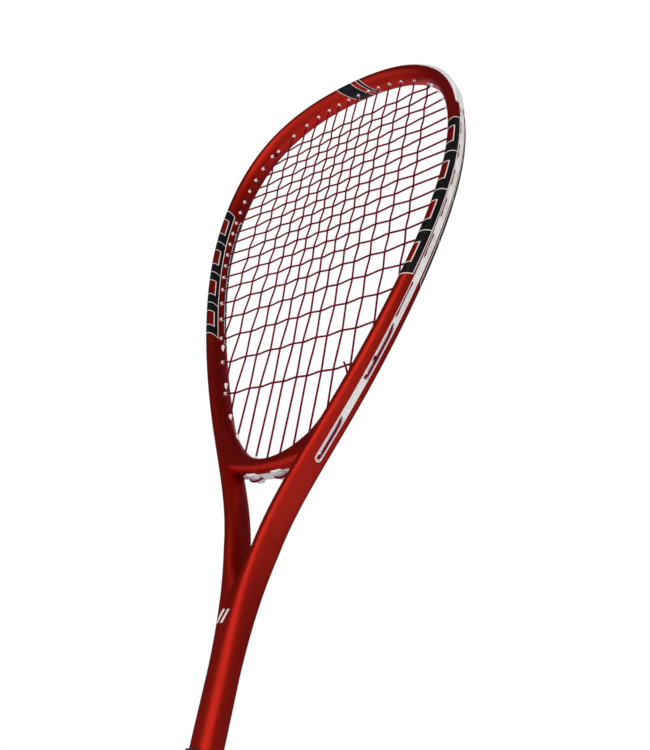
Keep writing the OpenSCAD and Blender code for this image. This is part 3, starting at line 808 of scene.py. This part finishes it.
MAIN_SPREAD = 0.0405
SPACING_POWER = 6
WEAVE = STRING_D / 2 + 0.02
HOLE_Y = 0.75
LANE_Y = 1.3
STRING_GAP = 0.05
FLOOR_U = HALF_W - GROOVE_D + STRING_GAP
SEAT_U = FLOOR_U + STRIP_T + STRING_D / 2 + STRING_GAP
KNOT_D = 2.5
KNOT_U = FLOOR_U + STRIP_T + KNOT_D / 2 + STRING_GAP
# A knotted string ends this far past the middle of its knot, or past its face on the bridge.
TAIL_PAST = 0.4
# A string turns out of its hole this far below its seat in the channel.
BEND_DROP = 0.05
WALL_GAP = 2.0
BRIDGE_REACH = 30.0
CORNER_X = 21.0
BRIDGE_CURVE = 0.0185
BELLY_CURVE = 0.004
BRIDGE_END = 47.0


def main_x(j):
    k = j - (MAINS - 1) / 2
    return math.copysign(MAIN_GAP * abs(k) + MAIN_SPREAD * abs(k) ** 3, k)


def cross_z(i):
    z = CROSS_BOTTOM
    for k in range(1, i + 1):
        z += CROSS_GAP + CROSS_EXTRA * (1 - (k - 1) / (CROSSES - 2)) ** SPACING_POWER
    return z


def on_bridge(j):
    return abs(main_x(j)) < BRIDGE_REACH


def in_corner(j):
    return on_bridge(j) and abs(main_x(j)) > CORNER_X


def low_x(j):
    return math.copysign(CORNER_X, main_x(j)) if in_corner(j) else main_x(j)


def main_top_t(j, u, low=0, high=1):
    return solve(lambda t: at_wall(t, u)[0] - abs(main_x(j)), low, high)


def main_low_t(j, u):
    return main_top_t(j, u, 1.2, CURVE_END)


def cross_t(i, u):
    return solve(lambda t: at_wall(t, u)[1] - cross_z(i), 0.02, CURVE_END)


def bridge_up(x):
    return BRIDGE_TOP + BRIDGE_CURVE * x * x


def bridge_low(x):
    arm = THROAT_Z + (abs(x) - THROAT_X) / math.tan(THROAT_ANGLE)
    return max(BRIDGE_TOP - BRIDGE_H + BELLY_CURVE * x * x, arm)


TOP_T = [main_top_t(j, SEAT_U) for j in range(MAINS)]
LOW_T = [0 if on_bridge(j) else main_low_t(j, SEAT_U) for j in range(MAINS)]
SIDE_T = [cross_t(i, SEAT_U) for i in range(CROSSES)]


def top_z(j, u):
    return at_wall(main_top_t(j, u), u)[1]


def low_z(j, u):
    if in_corner(j):
        return bridge_low(CORNER_X) - min(u, KNOT_D + STRING_GAP + TAIL_PAST)
    if on_bridge(j):
        return bridge_low(main_x(j)) - STRIP_T - STRING_GAP
    return at_wall(main_low_t(j, u), u)[1]


def inner_low_z(j):
    up = bridge_up(main_x(j))
    return up if on_bridge(j) else max(up, low_z(j, -HALF_W))


def side_x(i, u):
    return at_wall(cross_t(i, u), u)[0]


# --- Bridge ---

BRIDGE_POWER = 2.6
BRIDGE_ROOT = 0.9
ROOT_DEPTH = 0.8


def bridge_ring(x, sides=64):
    """A section of the yoke, which turns into that of an arm's inner side towards each end."""
    root = BRIDGE_ROOT * smooth(abs(x) / BRIDGE_END)
    low, up = bridge_low(x), bridge_up(x)
    middle = mix((up + low) / 2, low, root)
    half = mix(BRIDGE_DEPTH / 2, ROOT_DEPTH * depth_at(up), root)
    power = 2 / mix(BRIDGE_POWER, INNER_POWER, root)
    return [
        (x, y, middle + height * (up - middle if height > 0 else middle - low))
        for height, y in oval((1, half), power, sides)
    ]


def bridge_yoke():
    solid = loft([bridge_ring(x) for x in np.linspace(-BRIDGE_END, BRIDGE_END, 101)])
    none = np.zeros(len(solid[0]))
    # Far from the tip along the tube, where there are no graphics.
    fields = {"along": none + 2 * TOTAL_LEN, "tip": none, "around": none}
    piece("bridge_yoke", solid, LACQUER, "lacquer", ["bridge"], fields)


bridge_yoke()

# --- Bumper guard and grommet strips ---

BUMPER_END = 10 / 12
JOINT_GAP = 0.004
LIP_V = 6.4
RIB_V = 4.6
CHANNEL_V = GROOVE_W / 2 - 0.75
CHANNEL_WALL = GROOVE_W / 2 * 0.94 - STRING_GAP
BORE_D = STRING_D + 0.35
BARREL_TIP_D = BARREL_D - 0.6
BARREL_SIDES = 20


def outer_u(v):
    """Height of the tube's outer face, v away from the middle of the tube."""
    s = (abs(v) / (HOOP_DEPTH / 2)) ** (OUTER_POWER / 2)
    return HALF_W * math.sqrt(1 - s * s) ** (2 / OUTER_POWER) + STRING_GAP


def both_edges(half):
    """A whole section from one half, which is a list of heights and distances from the middle."""
    return [(u, -v) for u, v in half] + half[::-1]


def placed(t, section):
    """A section at a station, from heights over the centre line and distances from the middle."""
    return np.array([np.insert(at_wall(t, u), 1, v) for u, v in section])


def bumper_section(t):
    top = HALF_W + BUMPER_T * smooth((BUMPER_END - t) / 0.12) + 0.35
    edge = GROOVE_W / 2
    return rounded(both_edges([
        (FLOOR_U, CHANNEL_WALL),
        (outer_u(edge) - 0.1, CHANNEL_WALL),
        (outer_u(edge) + 0.1, edge + 0.1),
        (outer_u(RIB_V), RIB_V),
        (outer_u(LIP_V), LIP_V),
        (mix(outer_u(LIP_V), top, 0.35), LIP_V + 0.1),
        (top, RIB_V - 0.2),
        (top, CHANNEL_V + 0.5),
        (FLOOR_U + STRIP_T, CHANNEL_V),
    ]), 0.3, 3)


def barrel(inner, outer):
    """A grommet barrel: a hollow peg with a rounded lip at its inner end."""
    inner, outer = np.array(inner, float), np.array(outer, float)
    axis = unit(outer - inner)
    length = np.linalg.norm(outer - inner)
    ring = circle(axis, unit(np.cross(axis, [0, 1, 0])), BARREL_SIDES)
    profile = [
        (0.35, BORE_D / 2), (0.08, BORE_D / 2 + 0.04), (0.0, BORE_D / 2 + 0.12),
        (0.07, BARREL_TIP_D / 2 - 0.08), (0.25, BARREL_TIP_D / 2),
        (length, BARREL_D / 2), (length, BORE_D / 2),
    ]
    return loft([inner + z * axis + r * ring for z, r in profile], closed=True)


def barrels(start, end):
    """The barrels of the right half whose strings turn in the channel between two stations."""
    root = FLOOR_U + 0.25
    made = []
    for j in range(MAINS // 2, MAINS):
        x = main_x(j)
        if start <= TOP_T[j] < end:
            z = top_z(j, -HALF_W) - BARREL_OUT
            made.append(barrel([x, HOLE_Y, z], [x, HOLE_Y, top_z(j, root)]))
        if not on_bridge(j) and start <= LOW_T[j] < end:
            z = inner_low_z(j) + BARREL_OUT
            made.append(barrel([x, HOLE_Y, z], [x, HOLE_Y, low_z(j, root)]))
    for i in range(CROSSES):
        if start <= SIDE_T[i] < end:
            x, z = side_x(i, -HALF_W) - BARREL_OUT, cross_z(i)
            made.append(barrel([x, -HOLE_Y, z], [side_x(i, root), -HOLE_Y, z]))
    return made


def bumper():
    sections = [placed(t, bumper_section(t)) for t in spaced(0, BUMPER_END, 2.0)]
    band = loft([section * [-1, 1, 1] for section in sections[:0:-1]] + sections)
    pegs = barrels(0, BUMPER_END)
    solid = joined([band] + pegs + [mirrored(peg) for peg in pegs])
    piece("bumper_guard_clear", solid, NYLON, "clear_nylon", ["bumper_guard"])


STRIP_RIM = HALF_W - 0.2
STRIP_WALL = 0.5
# Square of the share of its width that the strip keeps at its very end.
LEAST_END = 0.0004


def strip_section(past):
    """The strip's trough, at a distance past the middle of its rounded end."""
    outer, inner = CHANNEL_WALL, CHANNEL_WALL - STRIP_WALL
    outer_share = math.sqrt(max(LEAST_END, 1 - (past / outer) ** 2))
    inner_share = math.sqrt(max(LEAST_END, 1 - min(1.0, past / inner) ** 2))
    rise = 1.0 if past >= inner else 0.0
    floor = mix(FLOOR_U + STRIP_T, STRIP_RIM, rise)
    return both_edges([
        (FLOOR_U, (outer - 0.3) * outer_share),
        (FLOOR_U + 0.3, outer * outer_share),
        (STRIP_RIM - 0.1, outer * outer_share),
        (STRIP_RIM, (outer - 0.1) * outer_share),
        (STRIP_RIM, (inner + 0.1) * min(inner_share + 0.02, outer_share)),
        (mix(STRIP_RIM - 0.12, STRIP_RIM, rise), inner * inner_share),
        (mix(floor + 0.25, floor, rise), (inner - 0.12 * rise) * inner_share),
        (floor, (inner - 0.25) * inner_share),
    ])


def grommet_strip():
    start = BUMPER_END + JOINT_GAP
    end = arc_at(GROOVE_END) - END_WALL - CHANNEL_WALL - 0.3
    straight = spaced(start, station_at(end), 2.5)
    inner = CHANNEL_WALL - STRIP_WALL
    turn = [*inner * slowing(9), *mix(inner, CHANNEL_WALL, slowing(5))]
    rings = [placed(t, strip_section(0.0)) for t in straight]
    rings += [placed(station_at(end + past), strip_section(past)) for past in turn]
    return joined([loft(rings)] + barrels(start, CURVE_END))


bumper()
STRIP = grommet_strip()
piece("right_strip_clear", STRIP, NYLON, "clear_nylon", ["right_grommet_strip"])
piece("left_strip_clear", mirrored(STRIP), NYLON, "clear_nylon", ["left_grommet_strip"])

PAD_X = (main_x(MAINS // 2) + main_x(MAINS // 2 + 1)) / 2
PAD_R = (3.9, 2.2)
PAD_DEPTH = 11.0
BAND = 3.0
BAND_REACH = 18.5


def bridge_strip_ring(x, sides=28):
    """A section of the strip under the bridge, thicker and wider where a string loops round it."""
    off = (abs(x) - PAD_X) / PAD_R[0]
    swell = math.sqrt(max(0.0, 1 - off * off))
    end = math.sqrt(max(0.02, 1 - max(0.0, (abs(x) - BAND_REACH + BAND) / BAND) ** 2))
    thick = STRIP_T - 0.05 + (PAD_R[1] - STRIP_T + 0.1) * swell
    half = mix(BAND * end, PAD_DEPTH / 2, min(1.0, 1.6 * swell))
    middle = bridge_low(x) + 0.05 - thick / 2
    return [(x, y, middle + z) for y, z in oval((half, thick / 2), 0.5, sides)]


def bridge_strip():
    # Slices are closest together at the edges of the pads, where the section changes fastest.
    edge = [PAD_X + PAD_R[0] * math.sin(a) for a in np.linspace(-math.pi / 2, math.pi / 2, 17)]
    straight = BAND_REACH - BAND
    right = [*np.linspace(0, edge[0], 6)[:-1], *edge]
    right += [*np.linspace(edge[-1], straight, 4)[1:], *straight + BAND * slowing(7)]
    slices = [-x for x in right[:0:-1]] + right
    made = [loft([bridge_strip_ring(x) for x in slices])]
    for x in [main_x(j) for j in range(MAINS) if on_bridge(j) and not in_corner(j)]:
        made.append(barrel([x, HOLE_Y, bridge_up(x) + BARREL_OUT], [x, HOLE_Y, bridge_low(x) - 0.4]))
    piece("bridge_strip_clear", joined(made), NYLON, "clear_nylon", ["bridge_grommet_strip"])


bridge_strip()

# --- Strings ---

WEAVE_STEPS = 6
# 0 keeps a string straight from crossing to crossing, and 1 makes it a smooth wave.
WAVE_SHARE = 0.4
# How far a run starts and ends inside the face of the frame.
RUN_IN = 0.4
# How far from its holes a loop starts and ends, in stations, and its steps to one station.
LOOP_LEAD, LOOP_STEPS = 0.014, 30


def main_over(i, j):
    return -WEAVE if (i + j) % 2 == 0 else WEAVE


def woven(points):
    """Points along a string that passes over and under in smooth waves."""
    points = np.array(points, float)
    made = [points[0]]
    for a, b in zip(points, points[1:]):
        for k in range(1, WEAVE_STEPS + 1):
            s = k / WEAVE_STEPS
            p = mix(a, b, s)
            p[1] = mix(a[1], b[1], mix(s, (1 - math.cos(math.pi * s)) / 2, WAVE_SHARE))
            made.append(p)
    return made


def main_run(j):
    x, low, high = main_x(j), inner_low_z(j), top_z(j, -HALF_W)
    crossings = [
        (x, main_over(i, j), cross_z(i))
        for i in range(CROSSES)
        if low + WALL_GAP < cross_z(i) < high - WALL_GAP
    ]
    return woven([(x, HOLE_Y, low + RUN_IN)] + crossings + [(x, HOLE_Y, high - RUN_IN)])


def cross_run(i):
    z, reach = cross_z(i), side_x(i, -HALF_W)
    crossings = [
        (main_x(j), -main_over(i, j), z) for j in range(MAINS) if abs(main_x(j)) < reach - WALL_GAP
    ]
    reach -= RUN_IN
    return woven([(-reach, -HOLE_Y, z)] + crossings + [(reach, -HOLE_Y, z)])


def side_of(j):
    return -1 if main_x(j) < 0 else 1


def groove_loop(start, end, y):
    """A loop in the channel between two stations, which are negative on the left half."""
    lead = math.copysign(LOOP_LEAD, end - start)
    n = 2 + math.ceil(LOOP_STEPS * abs(end - start))
    made = []
    for k in range(n + 1):
        t = mix(start + lead, end - lead, k / n)
        p = at_wall(abs(t), SEAT_U)
        made.append(np.array([math.copysign(p[0], t), y * (0.8 if k in (0, n) else 1), p[1]]))
    return made


PAD_CLEAR = STRING_D / 2 + 0.1


def pad_loop(side):
    """A loop under the bridge, round the pad between two holes."""
    across, down = PAD_R[0] + PAD_CLEAR, PAD_R[1] + PAD_CLEAR
    a = np.radians(np.linspace(150, 30, 9))
    x, z = side * (PAD_X + across * np.cos(a)), bridge_low(PAD_X) - down * np.sin(a)
    return list(np.column_stack([x, HOLE_Y * (1 - np.sin(a)), z]))


MAIN_LENGTHS = [(0, 3), (4, 9), (10, 13)]


def runs_up(j):
    first, final = MAIN_LENGTHS[1]
    return (j % 2 == 0) == (first <= j <= final)


def main_end(j, top):
    first, final = next(m for m in MAIN_LENGTHS if m[0] <= j <= m[1])
    last_one = j == (final if runs_up(j) == top else first)
    u = KNOT_U + TAIL_PAST if last_one else SEAT_U - BEND_DROP
    return [np.array([main_x(j) if top else low_x(j), HOLE_Y, top_z(j, u) if top else low_z(j, u)])]


def main_link(j):
    if on_bridge(j) and not runs_up(j):
        return pad_loop(-1)[::-1] if side_of(j) < 0 else pad_loop(1)
    t = TOP_T if runs_up(j) else LOW_T
    return groove_loop(side_of(j) * t[j], side_of(j + 1) * t[j + 1], LANE_Y)


def main_path(first, final):
    path = []
    for j in range(first, final + 1):
        up = main_end(j, False) + main_run(j) + main_end(j, True)
        path += up if runs_up(j) else up[::-1]
        if j < final:
            path += main_link(j)
    return path


def cross_end(i, side):
    last_one = side > 0 and i in (0, CROSSES - 1)
    u = KNOT_U + TAIL_PAST if last_one else SEAT_U - BEND_DROP
    return [np.array([side * side_x(i, u), -HOLE_Y, cross_z(i)])]


def cross_path():
    path = []
    for i in range(CROSSES):
        across = cross_end(i, -1) + cross_run(i) + cross_end(i, 1)
        side = 1 if i % 2 == 1 else -1
        path += across if side > 0 else across[::-1]
        if i < CROSSES - 1:
            path += groove_loop(side * SIDE_T[i], side * SIDE_T[i + 1], -LANE_Y)
    return path


def eased(path, radius=0.9, least_turn=0.12):
    """A path whose sharp bends are rounded."""
    made = [path[0]]
    for before, corner, after in zip(path, path[1:], path[2:]):
        back, ahead = before - corner, after - corner
        near, far = np.linalg.norm(back), np.linalg.norm(ahead)
        turn = math.pi - math.acos(clamp(float(back.dot(ahead) / near / far), -1, 1))
        if turn < least_turn:
            made.append(corner)
        else:
            back, ahead = back * min(radius / near, 0.45), ahead * min(radius / far, 0.45)
            made += bend(corner, back, ahead, 5)
    return made + [path[-1]]


def string_piece(name, path, stands_for=()):
    solid, fields = tube(eased(path), STRING_D / 2)
    piece(name, solid, STRING, "string", stands_for, fields, sharp=60)


string_piece("left_main_string", main_path(*MAIN_LENGTHS[0]), ["main_string"])
string_piece("middle_main_string", main_path(*MAIN_LENGTHS[1]))
string_piece("right_main_string", main_path(*MAIN_LENGTHS[2]))
string_piece("cross_string_woven", cross_path(), ["cross_string"])

KNOT_TURN = 2.4 * math.pi
TAIL_LEN = 9.0
TAIL_LEAN = math.radians(-25)
TIED_MAIN = MAINS - 3
TIED_DROP = 6.0


def knot(place, axis):
    """Turns of string drawn tight round a string that runs along an axis."""
    across = unit(np.cross(axis, [0.2, 1, 0.1]))
    beside = np.cross(axis, across)
    path = []
    for s in np.linspace(-1, 1, 49):
        a = s * KNOT_TURN
        off = math.cos(a) * across + math.sin(a) * beside
        path.append(place + axis * (0.75 * s) + (0.78 - 0.16 * s * s) * off)
    return tube(path, 0.46, sides=8)


def knots():
    level, _, upright = np.eye(3)
    right = [(main_x(j), top_z(j, KNOT_U)) for j in MAIN_LENGTHS[-1]]
    right.append((CORNER_X, bridge_low(CORNER_X) - KNOT_D / 2 - STRING_GAP))
    made = [knot([side * x, HOLE_Y, z], upright) for side in (-1, 1) for x, z in right]
    made += [knot([side_x(i, KNOT_U), -HOLE_Y, cross_z(i)], level) for i in (0, CROSSES - 1)]
    tied = np.array([main_x(TIED_MAIN), main_over(0, TIED_MAIN) * 0.6, cross_z(0) - TIED_DROP])
    made.append(knot(tied, upright))
    # The cut end stands off the knot, with a slight curl.
    root = tied - [0, (KNOT_D + STRING_D) / 2 - 0.35, 0]
    lean = np.array([math.sin(TAIL_LEAN), 0, math.cos(TAIL_LEAN)])
    tail = [
        root + lean * TAIL_LEN * s + np.array([0.5, -0.5, 0]) * math.sin(math.pi * s) * 0.8
        for s in np.linspace(0, 1, 15)
    ]
    made.append(tube(tail, STRING_D / 2))
    solids, kept = zip(*made)
    fields = {name: np.concatenate([k[name] for k in kept]) for name in ("along", "around")}
    piece("string_knots", joined(solids), STRING, "string", ["tie_off_knots"], fields, sharp=60)


knots()

# --- Handle ---

FIT_GAP = 0.05
SKIRT_T = 1.0
SKIRT_TOP = 15.0
FLANGE_TOP = 5.0
RING = 96


def handle(grow, radius=1.6):
    """The eight-sided outline of the handle, grown all round by a distance, in evenly spaced points."""
    w, d = GRIP_W + 2 * grow, GRIP_DEPTH + 2 * grow
    b = min(w, d) * 0.27
    quarter = [(w / 2, d / 2 - b), (w / 2 - b * 0.8, d / 2)]
    half = quarter + [(-x, y) for x, y in quarter[::-1]]
    points = rounded(half + [(-x, -y) for x, y in half], radius, 7)
    points = np.array(points + points[:1])
    distance = run_along(points)
    wanted = np.linspace(0, distance[-1], RING, endpoint=False)
    return np.column_stack([np.interp(wanted, distance, points[:, k]) for k in (0, 1)])


WRAP_PITCH = 23.0
SEAM_DEPTH = 0.7
SEAM_HALF = 0.9
ROLL = 0.35
WRAP_EDGE = 0.5
RIM_REACH = 0.6


def wrap_offset(p):
    """How far the wrap's face lies from its full size, p past the seam of the turn above."""
    seam = SEAM_DEPTH * math.exp(-((min(p, WRAP_PITCH - p) / SEAM_HALF) ** 2))
    crown = ROLL * (1 - math.sin(math.pi * clamp(p / WRAP_PITCH)) ** 0.35)
    return -(seam + crown)


def grip():
    """The wrap as one wound band: a seam climbs round the handle and each turn is slightly crowned."""
    full, bare = handle(0), handle(-WRAP_T)
    normal = full / np.linalg.norm(full, axis=1)[:, None]
    low, high = FLANGE_TOP + 0.1, WRAP_TOP
    rings = [level_ring(bare, high), level_ring(bare, low)]
    for z in np.linspace(low, high, 330):
        edge = WRAP_EDGE * smooth(1 - min(z - low, high - z) / RIM_REACH)
        off = [wrap_offset((z - k / RING * WRAP_PITCH) % WRAP_PITCH) - edge for k in range(RING)]
        rings.append(level_ring(full + normal * np.array(off)[:, None], z))
    piece("wound_grip", loft(rings, closed=True), GRIP, "grip", ["grip_wrap"], sharp=55)


TAPE_T = 0.3
TAPE_W = 12.0


def tape():
    """Two turns of tape round the top of the wrap, the upper edge a little askew."""
    inner, thin, outer = (handle(FIT_GAP + TAPE_T * k) for k in (0, 0.5, 1))
    top, low = WRAP_TOP, WRAP_TOP - TAPE_W
    step = low + TAPE_W * 0.42
    askew = 0.35 * np.sin(round_turn(RING))
    # Each ring's outline, its height and how far it follows the askew edge.
    rings = [
        np.column_stack([points, z + tilt * askew])
        for points, z, tilt in (
            (inner, top, 0), (inner, low, 1), (thin, low, 1), (thin, step - 0.1, 1),
            (outer, step + 0.1, 1), (outer, top - 0.1, 0), (thin, top, 0),
        )
    ]
    piece("wrap_end_tape", loft(rings, closed=True), TAPE, "tape", ["finishing_tape"])


PLUG_D = 15.0


def cap():
    """Cup over the butt end, with softened rims and a countersunk hole for the plug."""
    hole = np.array(oval((PLUG_D / 2, PLUG_D / 2), 1, RING))
    outlines = [handle(0.3 - g, 2.0) for g in (0, 0.25, 0.9, 1.6)]
    outlines += [handle(-WRAP_T - FIT_GAP), handle(-WRAP_T - FIT_GAP - SKIRT_T)]
    # They start where the hole's outline does, on the X axis.
    turn = int(np.argmin(np.abs(np.arctan2(outlines[0][:, 1], outlines[0][:, 0]))))
    *flange, skirt, inside = (np.roll(points, -turn, axis=0) for points in outlines)
    rings = [
        level_ring(points, z)
        for points, z in (
            (hole, CAP_FLOOR), (hole, 0.5), (hole * 1.05, 0.12), (hole * 1.12, 0.0),
            (flange[3], 0.0), (flange[2], 0.12), (flange[1], 0.6), (flange[0], 1.3),
            (flange[0], FLANGE_TOP - 0.7), (flange[1], FLANGE_TOP - 0.15), (flange[2], FLANGE_TOP),
            (skirt, FLANGE_TOP), (skirt, SKIRT_TOP - FIT_GAP),
            (inside, SKIRT_TOP - FIT_GAP), (inside, CAP_FLOOR),
        )
    ]
    piece("butt_cup", loft(rings, closed=True), CAP, "cap_plastic", ["butt_cap"], sharp=50)


COLLAR_T = 1.3
COLLAR_GAP = 0.4
COLLAR_LOW = WRAP_TOP - 6
MOUTH_POWER = 4.0
MOUTH = np.array([GRIP_W, GRIP_DEPTH]) / 2 + TAPE_T + COLLAR_GAP + 0.3
LIP = np.array([SHAFT_W, SHAFT_DEPTH]) / 2 + COLLAR_GAP
CONE_START, CONE_END = 0.24, 0.9
RIDGES = 3
RIDGE_DEPTH = 0.22
GROOVES_START, GROOVES_END = 0.02, CONE_START - 0.02
RIM_SOFT = 0.4


def collar_ring(share, grow):
    """An outline of the collar at a share of its height, grown from its inner face."""
    k = smooth((share - CONE_START) / (CONE_END - CONE_START))
    points = oval(mix(MOUTH, LIP, k) + grow, 2 / mix(MOUTH_POWER, SHAFT_POWER, k), RING)
    return level_ring(points, COLLAR_LOW + COLLAR_LEN * share)


def collar():
    """Rubber collar with rolled rims and three shallow grooves round its mouth."""
    rings = []
    for share in np.linspace(0, 1, 91):
        rim = min(share, 1 - share) * COLLAR_LEN
        soft = RIM_SOFT * (1 - math.sqrt(1 - (1 - min(1.0, rim / RIM_REACH)) ** 2))
        wave = math.cos(2 * math.pi * RIDGES * share / GROOVES_END)
        grooved = GROOVES_START < share < GROOVES_END
        groove = RIDGE_DEPTH * max(0.0, -wave) ** 2 if grooved else 0.0
        rings.append(collar_ring(share, COLLAR_T - soft - groove))
    rings += [collar_ring(share, 0.0) for share in np.linspace(1, 0, 31)]
    solid = loft(rings, closed=True)
    piece("rubber_boot", solid, RUBBER, "rubber", ["rubber_collar"], body="collar", sharp=50)


grip()
tape()
cap()
collar()

# The rest of the CAD nodes keep their shapes.
for node, material in {
    "front_pallet": FOAM,
    "back_pallet": FOAM,
    "bore_plugs": FOAM,
    "butt_plug": PLUG,
    "cap_staples": STEEL,
    "wrap_tack": STEEL,
}.items():
    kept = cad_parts[node]
    kept.data.materials.clear()
    kept.data.materials.append(material)

# --- Studio ---

HEAD = (0.0, 0.0, 0.45)
FLOOR_REACH = 60000.0
REFLECTED_WALLS = 0.16
MATT_WALLS = 0.92
# The direction of the white backdrop, opposite the camera.
BACKDROP = (-0.565, 0.643, 0.517)


def studio_floor():
    """A plain pale floor just under the butt, so wide that its edge is out of sight."""
    s = Shader("studio_floor")
    corners = np.array([(-1, -1, 0), (1, -1, 0), (1, 1, 0), (-1, 1, 0)])
    mesh = bare_mesh("studio_floor", (corners * FLOOR_REACH, [(0, 1, 2, 3)]))
    mesh.materials.append(s.look(Base_Color=rgb(0.86, 0.86, 0.86), Roughness=0.8))
    floor = bpy.data.objects.new("studio_floor", mesh)
    floor.location.z = cad_low.z - 0.0005
    scene.collection.objects.link(floor)
    return floor


def soft_light(name, place, size, power, tint=(1, 1, 1), passes_by=None):
    """A soft box that faces the head, and leaves one object unlit if it is to pass it by."""
    data = bpy.data.lights.new(name, "AREA")
    data.shape = "RECTANGLE"
    data.size, data.size_y = size
    data.energy = power
    data.color = tint
    lamp = bpy.data.objects.new(name, data)
    lamp.location = place
    lamp.rotation_euler = (Vector(HEAD) - Vector(place)).to_track_quat("-Z", "Y").to_euler()
    lamp.visible_camera = False
    scene.collection.objects.link(lamp)
    if passes_by:
        unlit = bpy.data.collections.new(name + "_unlit")
        unlit.objects.link(passes_by)
        unlit.collection_objects[0].light_linking.link_state = "EXCLUDE"
        lamp.light_linking.receiver_collection = unlit


def surroundings():
    """White behind the object, bright walls for its matt pieces and dimmer ones for its reflections."""
    world = bpy.data.worlds.new("studio")
    scene.world = world
    world.use_nodes = True
    world.node_tree.nodes.clear()
    s = Nodes(world.node_tree)
    camera_ray, through, matt = (
        s.term("LightPath", f"Is {kind} Ray") for kind in ("Camera", "Transmission", "Diffuse")
    )
    toward = s.term("TexCoord", "Generated")
    facing = s.term("VectorMath", "Value", {0: toward, 1: BACKDROP}, operation="DOT_PRODUCT")
    reflected = s.span(facing, 0.90, 0.98, REFLECTED_WALLS)
    strength = s.term("Mix", 0, {"Factor": matt, "A": reflected, "B": MATT_WALLS})
    grey = s.term("Background", 0, {"Color": rgb(0.93, 0.96, 1.0), "Strength": strength})
    white = s.term("Background", 0, {"Color": rgb(1, 1, 1)})
    shown = s.term("MixShader", 0, {0: s.most(camera_ray, through), 1: grey, 2: white})
    s.node("OutputWorld", {"Surface": shown})


def camera():
    """Below and to the right of the head, looking up at it."""
    data = bpy.data.cameras.new("camera")
    data.sensor_width = 36.0
    data.lens = 38.02
    data.clip_start = 0.01
    made = bpy.data.objects.new("camera", data)
    right = Vector((0.80298, 0.57233, 0.16631))
    up = Vector((0.18903, -0.50919, 0.83964))
    back = Vector((0.56523, -0.64277, -0.51706))
    made.matrix_world = Matrix((right, up, back)).transposed().to_4x4()
    made.matrix_world.translation = (0.29743, -0.30640, 0.15685)
    scene.collection.objects.link(made)
    scene.camera = made


floor = studio_floor()
surroundings()
# The key stands close to the floor, on which its lower edge would draw a hard line.
soft_light("key", (0.89, -1.27, 0.49), (1.9, 0.95), 8.5, (1.0, 0.84, 0.62), passes_by=floor)
soft_light("back", (-0.9, 0.9, 1.3), (1.0, 1.0), 0.8)
camera()
scene.view_settings.view_transform = "Standard"
